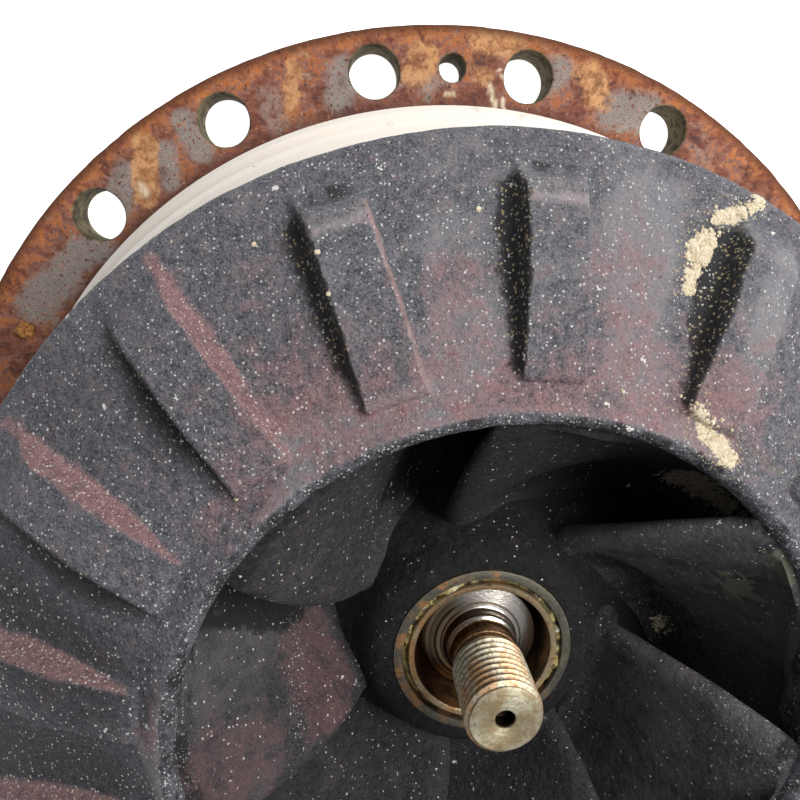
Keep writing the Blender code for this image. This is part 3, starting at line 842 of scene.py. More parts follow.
def shroud_top(radius, degrees):
    """Height of the shroud's upper face at one place."""
    turn = (math.radians(degrees) - rib_angles() + math.pi) % (2 * math.pi) - math.pi
    nearest = turn[np.abs(turn).argmin()]
    along, beside = radius * MM * math.cos(nearest), radius * MM * math.sin(nearest)
    return cone_height(radius * MM) + float(rib_height(np.array(along), np.array(beside)))


dice = random.Random(11)
crumbs = [(r, a, size, 0.6, shroud_top(r, a)) for r, a, size in CHIP_PLACES]
for _ in range(CRUMB_COUNT):
    start, end, reach, _, _ = dice.choice(CRUST_STRIPES)
    share = dice.uniform(-0.15, 1.15)
    r = start[0] + (end[0] - start[0]) * share + dice.gauss(0, reach + 1.0)
    a = start[1] + (end[1] - start[1]) * share + math.degrees(dice.gauss(0, reach + 1.0) / r)
    if CONE_SPAN[0] < r < CONE_SPAN[1]:
        crumbs.append((r, a, dice.uniform(0.35, 1.15), 0.75, shroud_top(r, a)))
add_piece("scale_crumbs", lump_mesh("scale_crumbs", crumbs), "rotor", scale_colour())

# %% [markdown]
# The seven vanes twist from the eye to the rim. Each one is a blade of constant thickness with
# a round leading edge. A ruled surface gives its middle: at every step along the flow it runs
# from the hub to the shroud. Two numbers place a point, along and across, and the blade's sides
# are the middle moved half a thickness out. Near the hub and the shroud the blade flares into
# both, as rubber does in a mould.

# %% Vane shape
VANE_COUNT = 7
VANE_THICKNESS = 13 * MM
VANE_WRAP = math.radians(115)
VANE_END = 262 * MM
LEADING_EDGE = ((71.7, 154.5, 157.3), (98.9, 192.8, 154.9), (149.5, 236.0, 146.9))
BENDS = ((95, 127), (155, 198))
END_HEIGHTS = (125, 166)
HUB_CURVE = ((49.3, 177), (56, 176), (62.5, 171), (72, 156), (85, 143.5), (105, 133.5), (128, 128.5),
             (150, 127.2), (200, 125.5), (268, 125))
FLOW_PITCH = 2 * MM
HALVINGS = 30
NOSE = 0.06
HUB_FILLET = 13 * MM
ROOF_FILLET = 9 * MM
BURIED = 9 * MM
ROOF_TOP = ((0, 234.6), (147.4, 234.6), (148.6, 235.4), (150.4, 237.8), (153, 239.0), (156, 238.0),
            (162, 233.6), (264, 188))


def parabola(first, middle, last, share):
    """Value on the parabola through three values."""
    return (first * 2 * (share - 0.5) * (share - 1) - middle * 4 * share * (share - 1)
            + last * 2 * share * (share - 0.5))


def vane_middle(along, across):
    """A point in the middle of the blade."""
    start = [parabola(*(edge[k] for edge in LEADING_EDGE), across) for k in range(3)]
    bend = [BENDS[0][k] + (BENDS[1][k] - BENDS[0][k]) * across for k in range(2)]
    end = (VANE_END / MM, END_HEIGHTS[0] + (END_HEIGHTS[1] - END_HEIGHTS[0]) * across)
    rest = 1 - along
    radius, height = (start[k] * rest**2 + bend[k] * 2 * along * rest + end[k] * along**2 for k in range(2))
    first = math.radians(LEADING_EDGE[0][2])
    angle = np.radians(start[2]) * rest + (first - VANE_WRAP) * along
    return np.stack([radius * np.cos(angle), radius * np.sin(angle), height], -1) * MM


def hub_height(radius):
    """Height of the hub's flow surface."""
    hub = outline(in_metres(HUB_CURVE), FLOW_PITCH)
    return np.interp(radius, hub[:, 0], hub[:, 1])


def roof_height(radius):
    """Height of the shroud's flow surface; the eye is open above its wall."""
    roof = outline(in_metres(SHROUD_UNDER), FLOW_PITCH)
    return np.interp(radius, roof[:, 0], roof[:, 1])


def reach_across(along, surface, low, high):
    """How far across the blade meets a surface, found by halving."""
    for _ in range(HALVINGS):
        middle = (low + high) / 2
        point = vane_middle(along, middle)
        above = point[..., 2] > surface(from_axis(point))
        low = np.where(above, low, middle)
        high = np.where(above, middle, high)
    return (low + high) / 2


print("leading edge at mid span, mm:", np.round(vane_middle(np.array(0.0), np.array(0.5)) / MM, 1))

# %% Blade form
VANE_STEPS = 46
VANE_SPAN_STEPS = 40
CROWDING = 1.9
NEAR_PITCH = 1.5 * MM
FLOW_STEP = 0.003
NO_FILLET = 1e-6


def gap_to(points, curve, above):
    """Distance from each point to a turned surface, 0 where the point is inside the solid."""
    radius = from_axis(points)
    flat = np.stack([radius, points[..., 2]], -1)
    near = np.linalg.norm(flat[..., None, :] - curve, axis=-1).min(-1)
    height = np.interp(radius, curve[:, 0], curve[:, 1])
    inside = points[..., 2] < height if above else (points[..., 2] > height) & (radius > curve[0, 0])
    return np.where(inside, 0, near)


def fillet(gap, size):
    """How far a side moves out near a surface, as a quarter circle."""
    size = np.maximum(size, NO_FILLET)
    short = np.clip(size - gap, 0, size)
    return (size - np.sqrt(size ** 2 - short ** 2))[:, None]


def unit(vectors):
    """The same directions with length 1."""
    return vectors / np.linalg.norm(vectors, axis=-1, keepdims=True)


def vane_rows():
    """Rings round the blade, one for each station between hub and shroud."""
    hub = outline(in_metres(HUB_CURVE), NEAR_PITCH)
    roof = outline(in_metres(SHROUD_UNDER), NEAR_PITCH)
    cap = np.array(ROOF_TOP) * MM
    along = (np.arange(VANE_STEPS + 1) / VANE_STEPS) ** CROWDING
    root = reach_across(along, hub_height, np.full_like(along, -0.6), np.full_like(along, 0.5))
    tip = reach_across(along, roof_height, np.full_like(along, 0.5), np.full_like(along, 1.5))
    span = np.linalg.norm(vane_middle(along, tip) - vane_middle(along, root), axis=-1)
    low = root - BURIED / span
    high = tip + BURIED / span
    ending = np.clip((1 - along) * 12, 0, 1)
    roof_flare = ROOF_FILLET * np.clip(along * 6, 0, 1) * ending
    hub_flare = HUB_FILLET * np.clip(0.45 + along * 5, 0, 1) * ending
    turn_in = np.minimum(along / NOSE, 1)[:, None]
    round_out = np.sqrt(1 - (1 - turn_in) ** 2)
    rings = []
    for share in (1 - np.cos(np.linspace(0, math.pi, VANE_SPAN_STEPS))) / 2:
        across = low + (high - low) * share
        middle = vane_middle(along, across)
        flow = unit(vane_middle(along + FLOW_STEP, across) - vane_middle(along - FLOW_STEP, across))
        rising = vane_middle(along, across + FLOW_STEP) - vane_middle(along, across - FLOW_STEP)
        out = unit(np.cross(flow, rising))
        sides = []
        for sign in (1, -1):
            face = middle + sign * out * VANE_THICKNESS / 2 * round_out
            at_hub = fillet(gap_to(face, hub, True), hub_flare)
            at_roof = fillet(gap_to(face, roof, False), roof_flare)
            face = face + sign * out * round_out * (at_hub + at_roof) - 0.25 * flow * (1 - turn_in) * at_hub
            radius = from_axis(face)
            face[:, :2] *= np.minimum(1, (VANE_END + 1 * MM) / radius)[:, None]
            face[:, 2] = np.minimum(face[:, 2], np.interp(radius, cap[:, 0], cap[:, 1]))
            sides.append(face)
        rings.append(np.vstack([sides[0], sides[1][:0:-1]]))
    return np.array(rings)


def close_ends(mesh, rings, steps):
    """Cap the first and last ring with strips between the blade's two sides."""
    bm = bmesh.new()
    bm.from_mesh(mesh)
    bm.verts.ensure_lookup_table()
    for base in (0, (rings - 1) * steps):
        ring = [bm.verts[base + k] for k in range(steps)]
        bm.faces.new((ring[0], ring[1], ring[-1]))
        for k in range(1, steps // 2):
            bm.faces.new((ring[k], ring[k + 1], ring[-k - 1], ring[-k]))
    bmesh.ops.remove_doubles(bm, verts=bm.verts, dist=SLIVER)
    bmesh.ops.recalc_face_normals(bm, faces=bm.faces)
    bm.to_mesh(mesh)
    bm.free()


blade = vane_rows()
print("rings and points in each blade:", blade.shape[:2])

# %% [markdown]
# All seven vanes share one blade, turned about the shaft, but each has worn in its own way. Four
# are also painted darker as painted shade, and three lighter as painted light, each over the whole
# vane. The stripes of wear and shade are given at their true bearings, so a vane takes only those
# that lie on it.

# %% Zones of wear, painted shade and painted light on the vanes
VANE_WORN = (
    ((98, 178), (86, 198), 9, 7, 0.80), ((144, 188), (126, 193), 8, 18, 0.7),
    ((150, 222), (138, 232), 6, 16, 0.4),
)
VANE_DUST = (
    ((146, 174), (112, 184), 14, 18, 0.45), ((142, 190), (126, 194), 8, 20, 0.7),
    ((150, 225), (110, 240), 16, 30, 0.2), ((142, -8), (130, -6), 4, 12, 0.5),
)
VANE_SILT = (((135, 20.5), (131, 27), 3, 9, 0.72), ((154, 33), (168, 22), 9, 10, 0.75))
VANE_CRUST = (
    ((150, 35), (160, 27), 5, 8, 0.80), ((163, 26), (172, 20), 3, 7, 0.74),
    ((128, -9), (122, -6), 2, 9, 0.55),
)
VANE_SALT = (
    ((104, 172), (103, 200), 1.5, 2.5, 0.8), ((150, 172), (146, 188), 2, 2, 0.8),
    ((136, -14), (124, -2), 8, 14, 0.5),
)
LAST_VANE_SHADE = (((146, 161.5), (104, 170), 7, 3.5, 0.85),)
PASSAGE_SHADE = (
    ((96, 50), (185, 15), 32, 12, 1.0), ((102, 92), (106, 116), 14, 8, 1.0),
    ((110, 10), (130, -12), 12, 14, 0.5),
)
# Painted shade that darkens each whole vane by this share.
VANE_PAINTED_SHADE = (0.06, 0.62, 0.0, 0.0, 0.40, 0.36, 0.0)
# Painted light: an even share of dust coat that lightens each whole vane.
VANE_PAINTED_LIGHT = (0.0, 0.0, 0.75, 0.55, 0.0, 0.0, 0.05)
print("dimmed vanes:", [k + 1 for k, dim in enumerate(VANE_PAINTED_SHADE) if dim])

# %% Vanes
VANE_GRAIN = 0.3 * MM
PASSAGE_SHADE_TOP = 161 * MM
HUB_SHADE_HEIGHT = 16 * MM
ROOF_SHADE_FROM = 227 * MM
EYE_WALL_FROM = 138 * MM
CRUST_TOP = 150 * MM

for k in range(VANE_COUNT):
    turn = -2 * math.pi * k / VANE_COUNT
    spin = np.array(((math.cos(turn), math.sin(turn), 0), (-math.sin(turn), math.cos(turn), 0), (0, 0, 1)))
    placed = blade @ spin
    placed += row_normals(placed, False) * (lumps(placed, 11 * MM, 3, 2.0 + k) * VANE_GRAIN)[..., None]
    vane_mesh = sheet_mesh(f"rubber_vane_{k + 1}", placed, False)
    close_ends(vane_mesh, *placed.shape[:2])
    spots = mesh_points(vane_mesh)
    height = spots[:, 2]
    # Painted shade: in the passages, on the last vane where its neighbour's shadow falls, on the blade near
    # the hub and under the shroud.
    shade = zone(spots, PASSAGE_SHADE) * fall(height, PASSAGE_SHADE_TOP, 3 * MM)
    if k == VANE_COUNT - 1:
        shade = np.maximum(shade, zone(spots, LAST_VANE_SHADE))
    near_hub = np.clip(1 - (height - hub_height(from_axis(spots))) / HUB_SHADE_HEIGHT, 0, 1)
    near_roof = rise(height, ROOF_SHADE_FROM, 6 * MM) * (from_axis(spots) > EYE_WALL_FROM)
    for name, values in {
        "sheltered": np.maximum.reduce([shade, 0.40 * near_hub, 0.55 * near_roof]),
        "worn": zone(spots, VANE_WORN),
        # Besides the dust stripes, each vane's even share is painted light.
        "dust": (zone(spots, VANE_DUST) + VANE_PAINTED_LIGHT[k]) * (1 - near_hub),
        "dim": np.full(len(spots), VANE_PAINTED_SHADE[k]),
        "salt": zone(spots, VANE_SALT),
        "silt": zone(spots, VANE_SILT),
        "crust": 0.95 * zone(spots, VANE_CRUST) * (height < CRUST_TOP),
    }.items():
        paint(vane_mesh, name, values)
    add_piece(f"rubber_vane_{k + 1}", vane_mesh, "rotor", vane_rubber,
              [f"vane_{k + 1}"], sharp=60)

# %% [markdown]
# The hub is a rubber-covered boss about two steel rings. Its face is flat and its shoulder is
# round, then it falls in one long curve to the back shroud. It is a turned form, so the rings of
# its sheet are circles, and only fine lumps from the mould and from wear disturb them.

# %% Hub and back shroud
HUB_STEPS = 168
BACK_STEPS = 240
HUB_SHADE_TOP = 150 * MM
HUB_UNDER = ((0.150, 0.1256), (0.0603, 0.1256), (0.0603, 0.1073), (0.0493, 0.1073))
BACK_CORNERS = ((0.0606, 0.1073), (IMPELLER_RADIUS, 0.1073), (IMPELLER_RADIUS, 0.1247), (0.0606, 0.1247))


def rough_turned(name, corners, steps, pitch, depth, seed):
    """A closed turned mesh with fine lumps on it."""
    rows = closed_rows(corners, pitch, steps)
    rows += row_normals(rows, True) * (lumps(rows, 9 * MM, 3, seed) * depth)[..., None]
    mesh = sheet_mesh(name, rows, True)
    face_outward(mesh)
    return mesh


hub_top = outline(in_metres(HUB_CURVE[:8]), 3 * MM).tolist()
hub_mesh = rough_turned("rubber_hub", [*hub_top, *HUB_UNDER], HUB_STEPS, 2.6 * MM, 0.18 * MM, 3.0)
hub_spots = mesh_points(hub_mesh)
# Painted shade in the passages between the vanes.
paint(hub_mesh, "sheltered", zone(hub_spots, PASSAGE_SHADE) * (hub_spots[:, 2] < HUB_SHADE_TOP))
add_piece("rubber_hub", hub_mesh, "rotor", hub_rubber, ["hub_cover"], sharp=50)
back_profile = round_corners(BACK_CORNERS, 2.5 * MM)
back_mesh = rough_turned("rubber_back_shroud", back_profile, BACK_STEPS, 4.5 * MM, 0.2 * MM, 4.0)
# Painted shade in the passages between the vanes.
paint(back_mesh, "sheltered", zone(mesh_points(back_mesh), PASSAGE_SHADE))
add_piece("rubber_back_shroud", back_mesh, "rotor", vane_rubber, ["back_shroud"], sharp=50)

# %% [markdown]
# Bare steel shows at the hub: an outer ring that is grey with rust, a groove packed with old
# grease, and an inner ring whose rim has gone orange. Both are plain turned rings with small
# chamfers. Their story is told by the finish, so it mixes bright steel with rust by noise, more
# rust on one side than on the other.

# %% Steel and grease finishes
RUST_ORANGE = (0.36, 0.175, 0.060)
RUST_BROWN = (0.085, 0.032, 0.014)
BORE_DARK = (0.055, 0.030, 0.015)
BORE_ORANGE = (0.300, 0.150, 0.060)
OUTER_RING_GREY = (0.150, 0.142, 0.112)
SLEEVE_PALE = (0.52, 0.41, 0.25)
GREASE_DIRT = (0.030, 0.024, 0.014)
GREASE_YELLOW = (0.30, 0.245, 0.090)
HUB_RIM = 177.2 * MM


def stained_steel(name, rust_share, tint, roughness):
    """Turned steel with turning marks, stains and rust."""
    f = Finish(name, metallic=0.85)
    marks = f.turning_marks(2600.0, 2.0)
    stains = f.noise(0.011, 4, 0.6)
    fine = f.noise(0.0022, 4, 0.65)
    colour = f.blend(marks, 0.3, 0.7, scaled(tint, 0.7), tint)
    uneven = f.math("SUBTRACT", stains, f.times(f.axis("X"), 1.6))
    rusty = f.ramp(uneven, 0.62 - 0.35 * rust_share, 0.80 - 0.25 * rust_share)
    colour = f.cover(colour, rusty, 0.8, RUST_ORANGE)
    colour = f.cover(colour, f.ramp(fine, 0.52, 0.68), 0.7, RUST_BROWN)
    inside = f.ramp(f.axis("Z"), HUB_RIM, HUB_RIM - 1.5 * MM)
    colour = f.cover(colour, inside, 0.80, f.blend(stains, 0.40, 0.62, BORE_DARK, BORE_ORANGE))
    f.bump(fine, 0.0003, 0.6)
    f.bump(marks, 0.0001, 0.5)
    return f.finish(colour, f.plus(f.times(f.ramp(stains, 0.3, 0.7), 0.25), roughness))


def grease_finish():
    """Old yellow-brown grease mixed with dirt."""
    f = Finish("old_grease", specular=0.6)
    dirt = f.noise(0.004, 4, 0.65)
    f.bump(f.noise(0.0016, 3), 0.0006)
    return f.finish(f.blend(dirt, 0.42, 0.60, GREASE_DIRT, GREASE_YELLOW),
                    f.ramp(dirt, 0.0, 1.6, soft=False))


ring_steel = stained_steel("outer_ring_steel", 0.30, OUTER_RING_GREY, 0.38)
sleeve_steel = stained_steel("sleeve_steel", 0.55, SLEEVE_PALE, 0.30)
old_grease = grease_finish()
print("steel finishes:", ring_steel.name, sleeve_steel.name)

# %% Hub rings
RING_STEPS = 160
RING_PITCH = 1.6 * MM
RING_CORNERS = ((41.7, 107), (49, 107), (49, 178), (43.8, 178), (43.8, 172), (41.7, 172))
SLEEVE_CORNERS = ((32.9, 107), (41.4, 107), (41.4, 178), (37.7, 178), (37.7, 131), (32.9, 131))


def turned_ring(name, corners, radius, material, replaced):
    """A turned ring with small round corners."""
    rows = closed_rows(round_corners(in_metres(corners), radius), RING_PITCH, RING_STEPS)
    mesh = sheet_mesh(name, rows, True)
    face_outward(mesh)
    add_piece(name, mesh, "rotor", material, replaced)


turned_ring("outer_hub_ring", RING_CORNERS, 0.8 * MM, ring_steel, ["hub_ring"])
turned_ring("inner_hub_sleeve", SLEEVE_CORNERS, 0.9 * MM, sleeve_steel, ["hub_sleeve"])

# %% Grease in the groove
GREASE_STEPS = 220
GREASE_OUTLINE = ((41.2, 172.8), (44.0, 172.8), (44.0, 175.2), (42.6, 175.8), (41.2, 175.4))
GREASE_SIDES_ABOVE = 174 * MM
THICK_BEARINGS = (135, 5)
THICK_SPREAD = 38

grease_rows = turned_rows(in_metres(GREASE_OUTLINE), GREASE_STEPS)
lift = lumps(grease_rows, 7 * MM, 3, 6.0)
from_thick = np.minimum(*(np.abs(bearing(grease_rows) - thick) for thick in THICK_BEARINGS))
packed = np.clip(1.4 - from_thick / THICK_SPREAD, 0, 1)
on_top = grease_rows[..., 2] > GREASE_SIDES_ABOVE
grease_rows[..., 2] += np.where(on_top, (3.2 * lift * packed + 2.4 * packed - 1.6) * MM, 0)
grease_mesh = sheet_mesh("groove_grease", grease_rows, True)
face_outward(grease_mesh)
add_piece("groove_grease", grease_mesh, "rotor", old_grease)

# %% [markdown]
# The shaft end carries a 39 mm thread of 4 mm pitch. A thread is a groove that winds, so its
# radius depends on height and angle together: one turn moves it by one pitch. A sheet of close
# rings takes that radius directly. It fades into the undercut below and into a chamfer at the
# end, where the first turn starts as a thin blade, like the nick on the real one.

# %% Thread shape
THREAD_PITCH = 4 * MM
THREAD_RADIUS = 19.4 * MM
THREAD_DEPTH = 2.3 * MM
THREAD_BOTTOM = 188.6 * MM
THREAD_STEPS = 144
THREAD_START = 0.72
THREAD_RISE = 0.30 * MM
CREST = 0.16
FLANK = 0.70


def thread_radius(height, angle):
    """Radius of the thread's surface, with flat crests and round roots."""
    turn = (height / THREAD_PITCH - angle / (2 * math.pi) + THREAD_START) % 1.0
    flank = rise(np.abs(turn - 0.5) * 2, CREST, FLANK)
    return THREAD_RADIUS - THREAD_DEPTH * (flank - 0.06 * np.sin(2 * math.pi * flank))


crest, root = (thread_radius((share - THREAD_START) * THREAD_PITCH, 0) for share in (0.5, 1))
print("crest and root, mm:", round(1000 * crest, 2), round(1000 * root, 2))

# %% Shaft rings
SHAFT_TOP = 227.7 * MM
SHAFT_PITCH = 0.5 * MM
UNDERCUT_RADIUS = 17.5 * MM
RUN_IN_SLOPE = 1.3
CHAMFER = 2.0 * MM
CHAMFER_SLOPE = 1.15
SHAFT_FOOT = ((0.1, 6), (16, 6), (31, 6), (32.6, 7.6), (32.6, 60), (32.6, 110), (32.6, 150))
SHAFT_CONE = ((32.6, 163.4), (32.2, 164.2), (20.9, 167.4), (20.4, 167.8), (20.1, 168.4), (20.1, 173.2),
              (19.6, 173.9), (17.9, 175.2), (17.5, 175.8), (17.5, 181.0), (17.9, 181.5), (17.9, 184.6),
              (17.5, 185.0), (17.5, 188.4))
SHAFT_END = ((17.0, 227.7), (12, 227.7), (6.2, 227.7), (5.2, 227.4), (4.4, 226.2), (4.3, 220),
             (2.2, 219.0), (0.1, 218.8))


def shaft_rows():
    """Rings of the whole shaft, from the journal's end to the centre hole."""
    cone = outline(in_metres(SHAFT_CONE), SHAFT_PITCH, True)
    lower = turned_rows(np.vstack([in_metres(SHAFT_FOOT), cone]), THREAD_STEPS)
    heights = np.arange(THREAD_BOTTOM, SHAFT_TOP - 0.05 * MM, THREAD_RISE)
    height, angle = np.meshgrid(heights, circle_angles(THREAD_STEPS), indexing="ij")
    run_in = UNDERCUT_RADIUS + (height - THREAD_BOTTOM) * RUN_IN_SLOPE
    run_out = THREAD_RADIUS - np.clip(height - (SHAFT_TOP - CHAMFER), 0, 1) * CHAMFER_SLOPE
    radius = np.minimum.reduce([thread_radius(height, angle), run_in, run_out])
    thread = np.stack([radius * np.cos(angle), radius * np.sin(angle), height], -1)
    return np.vstack([lower, thread, turned_rows(in_metres(SHAFT_END), THREAD_STEPS)])


shaft_sheet = shaft_rows()
print("thread turns:", round((SHAFT_TOP - THREAD_BOTTOM) / THREAD_PITCH, 1))

# %% Shaft finishes, with a painted reflection on the cone
POLISHED_TO = 174.6 * MM
REFLECTION_BRIGHT = (0.53, 0.495, 0.45)
POLISH_RINGS = (0.20, 0.155, 0.115)
REFLECTION_BRONZE_DARK = (0.040, 0.026, 0.015)
REFLECTION_BRONZE_LIGHT = (0.250, 0.180, 0.115)
UNDERCUT_DARK = (0.20, 0.10, 0.045)
UNDERCUT_LIGHT = (0.44, 0.29, 0.17)
THREAD_STEEL = (0.56, 0.52, 0.40)
THREAD_STAIN = (0.54, 0.34, 0.19)
THREAD_DIRT = (0.17, 0.105, 0.05)
END_PALE = (0.56, 0.52, 0.39)
END_STAIN = (0.39, 0.305, 0.18)
END_DIRT = (0.14, 0.10, 0.055)
HOLE_PAINTED_SHADE = (0.020, 0.014, 0.008)


def shaft_steel():
    """One finish for the shaft: polished cone with a painted reflection, brown undercut, stained thread,
    turned end with painted shade in its centre hole.
    """
    f = Finish("shaft_steel", metallic=1.0)
    height = f.axis("Z")
    fine = f.noise(0.0018, 4, 0.65)
    turned = f.turning_marks(330.0, 1.0)
    reflection_side = f.plus(f.times(f.axis("X"), -0.9), f.times(f.axis("Y"), -0.7))
    bright_reflection = f.blend(turned, 0.56, 0.70, REFLECTION_BRIGHT, POLISH_RINGS)
    bronze_reflection = f.blend(turned, 0.42, 0.58, REFLECTION_BRONZE_DARK, REFLECTION_BRONZE_LIGHT)
    # Painted reflection: the polished cone is bright on its upper right and dark bronze on its lower left.
    polished = f.blend(reflection_side, -0.020, 0.004, bright_reflection, bronze_reflection)
    brown = f.blend(fine, 0.35, 0.65, UNDERCUT_DARK, UNDERCUT_LIGHT)
    stained = f.noise(0.009, 3, 0.5, stretch=(1.0, 1.0, 0.35))
    thread = f.blend(stained, 0.42, 0.64, THREAD_STEEL, THREAD_STAIN)
    thread = f.cover(thread, f.ramp(fine, 0.46, 0.64), 0.60, THREAD_DIRT)
    end = f.blend(f.noise(0.010, 4), 0.36, 0.62, END_PALE, END_STAIN)
    end = f.cover(end, f.ramp(fine, 0.50, 0.68), 0.5, END_DIRT)
    colour = f.blend(height, POLISHED_TO, POLISHED_TO + 0.6 * MM, polished, brown)
    colour = f.blend(height, THREAD_BOTTOM - 0.5 * MM, THREAD_BOTTOM + 2 * MM, colour, thread)
    on_end = f.ramp(height, SHAFT_TOP - 0.8 * MM, SHAFT_TOP - 0.4 * MM)
    colour = f.mix(on_end, colour, end)
    # Painted shade: the centre hole is painted near black.
    near_axis = f.ramp(f.radius(), 5.2 * MM, 4.6 * MM)
    in_hole = f.times(near_axis, f.ramp(height, SHAFT_TOP - 12 * MM, SHAFT_TOP - 10 * MM))
    colour = f.mix(in_hole, colour, HOLE_PAINTED_SHADE)
    f.bump(f.times(f.turning_marks(3200.0, 2.0), on_end), 0.00026, 0.9)
    f.bump(fine, 0.00022, 0.6)
    rough = f.plus(f.times(f.ramp(height, POLISHED_TO, THREAD_BOTTOM), 0.36), 0.16)
    return f.finish(colour, f.plus(rough, f.times(fine, 0.15)))


shaft_mesh = sheet_mesh("threaded_shaft", shaft_sheet, False)
face_outward(shaft_mesh)
add_piece("threaded_shaft", shaft_mesh, "rotor", shaft_steel(), ["drive_shaft"], sharp=28)

# %% [markdown]
# The flange is old steel plate. Its face is a flat ring with sixteen bolt holes and two small
# jacking holes, so the mesh starts as a flat layout: circles for the edges and holes, and a field
# of points between them. A constrained triangulation joins them without long thin faces. Then rust
# pits and blisters lift each point a little, and short walls join the front to the back.

# %% Flange layout
PLATE_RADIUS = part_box("mounting_flange")[1].x
PLATE_THICKNESS = 27 * MM
PLATE_BORE = 150 * MM
SPIGOT_FOOT = 298 * MM
BOLT_CIRCLE = 324 * MM
BOLT_HOLE = 16.6 * MM
BOLT_PLACES = 20
PLACES_WITHOUT_HOLE = (1, 5, 11, 15)
FIRST_BOLT = 135.9
JACK_HOLE = 9 * MM
JACK_ANGLES = (90.9, 270.9)
EDGE_ROUND = 1.2 * MM
HOLE_FLARE = 0.8 * MM
EDGE_STEPS = 600
BORE_STEPS = 120
BOLT_STEPS = 72
JACK_STEPS = 44
FIELD_SHAKE = 0.2


def flange_holes():
    """Centre and radius of each hole through the flange."""
    places = [k for k in range(BOLT_PLACES) if k not in PLACES_WITHOUT_HOLE]
    bolts = [(polar(BOLT_CIRCLE, FIRST_BOLT + 360 * k / BOLT_PLACES), BOLT_HOLE) for k in places]
    return bolts + [(polar(BOLT_CIRCLE, degrees), JACK_HOLE) for degrees in JACK_ANGLES]


def circle(centre, radius, steps):
    """Points on a flat circle."""
    angle = circle_angles(steps)
    return np.stack([centre[0] + radius * np.cos(angle), centre[1] + radius * np.sin(angle)], -1)


def plate_loops():
    """The plate's edge, bore and holes, each with the way its wall bulges: 1 outward, -1 inward."""
    loops = [((0, 0), PLATE_RADIUS - EDGE_ROUND, EDGE_STEPS, 1), ((0, 0), PLATE_BORE, BORE_STEPS, 0)]
    for centre, radius in flange_holes():
        loops.append((centre, radius + HOLE_FLARE, BOLT_STEPS if radius == BOLT_HOLE else JACK_STEPS, -1))
    return [(circle(centre, radius, steps), centre, radius, way) for centre, radius, steps, way in loops]


def plate_field(pitch, inner):
    """Staggered points between the inner radius and the edge, clear of the holes."""
    spots = []
    dice = random.Random(7)
    for ring, radius in enumerate(np.arange(inner, PLATE_RADIUS - 2.0 * MM, pitch)):
        count = int(2 * math.pi * radius / pitch)
        angle = (np.arange(count) + 0.5 * (ring % 2)) * 2 * math.pi / count
        shake = np.array([dice.uniform(-FIELD_SHAKE, FIELD_SHAKE) * pitch for _ in range(count)])
        spots.append(np.stack([(radius + shake) * np.cos(angle), (radius + shake) * np.sin(angle)], -1))
    spots = np.vstack(spots)
    keep = np.ones(len(spots), bool)
    for centre, radius in flange_holes():
        keep &= from_axis(spots - centre) > radius + EDGE_ROUND + 0.3 * pitch
    return spots[keep]


def flat_plate(fields, height):
    """Triangulate one face of the plate."""
    loops = plate_loops()
    points, edges = [], []
    for ring, *_ in loops:
        base = len(points)
        points += ring.tolist()
        edges += [(base + k, base + (k + 1) % len(ring)) for k in range(len(ring))]
    for field in fields:
        points += field.tolist()
    made = geometry.delaunay_2d_cdt([Vector(p) for p in points], edges, [], 1, 1e-7)
    spots = np.array([tuple(p) for p in made[0]])
    faces = [tuple(face) for face in made[2]]
    middle = np.array([spots[list(face)].mean(0) for face in faces])
    keep = from_axis(middle) > PLATE_BORE
    for _, centre, radius, _ in loops[2:]:
        keep &= from_axis(middle - centre) > radius * 0.999
    heights = np.full((len(spots), 1), height)
    return np.hstack([spots, heights]), [face for face, kept in zip(faces, keep) if kept]


print("holes in the flange:", len(flange_holes()))

# %% Flange faces
FINE_PITCH = 2.4 * MM
COARSE_PITCH = 9 * MM
BACK_PITCH = 6 * MM
WALL_STEPS = ((0, 27), (0.75, 26.6), (1.2, 25.8), (1.2, 20), (1.2, 13.5), (1.2, 7), (1.2, 1.2), (0.75, 0.4),
              (0, 0))


def rim_wall(loop, centre, radius, way):
    """Rings from the front edge of a loop to its back edge, with a small round at both."""
    away = (loop - np.array(centre)) / radius
    rings = []
    for inset, height in WALL_STEPS:
        flat = np.array(centre) + away * (radius + way * inset * MM)
        rings.append(np.hstack([flat, np.full((len(flat), 1), height * MM)]))
    return np.array(rings)


fine_field = plate_field(FINE_PITCH, SPIGOT_FOOT - 1.5 * MM)
coarse_field = plate_field(COARSE_PITCH, PLATE_BORE + COARSE_PITCH)
coarse_field = coarse_field[from_axis(coarse_field) < SPIGOT_FOOT - 8 * MM]
back_field = plate_field(BACK_PITCH, PLATE_BORE + 5 * MM)
front, front_faces = flat_plate([fine_field, coarse_field], PLATE_THICKNESS)
rear, rear_faces = flat_plate([back_field], 0.0)
print("front and back faces of the flange:", len(front_faces), len(rear_faces))

# %% Flange walls and relief
FRONT_FROM = 25 * MM
RELIEF_SHARE = 0.8
EDGE_LOSS = 0.0011


def rust_relief(points):
    """Pits and blisters of the rusted face, in metres."""
    blister = np.clip(lumps(points, 16 * MM, 4, 1.0) - 0.12, 0, 1) * 0.9 * MM
    pits = np.clip(-lumps(points, 5 * MM, 3, 2.0) - 0.25, 0, 1) * 0.7 * MM
    calm = rise(from_axis(points), SPIGOT_FOOT, 4 * MM)
    return (blister - pits + lumps(points, 3 * MM, 2, 3.0) * 0.12 * MM) * calm


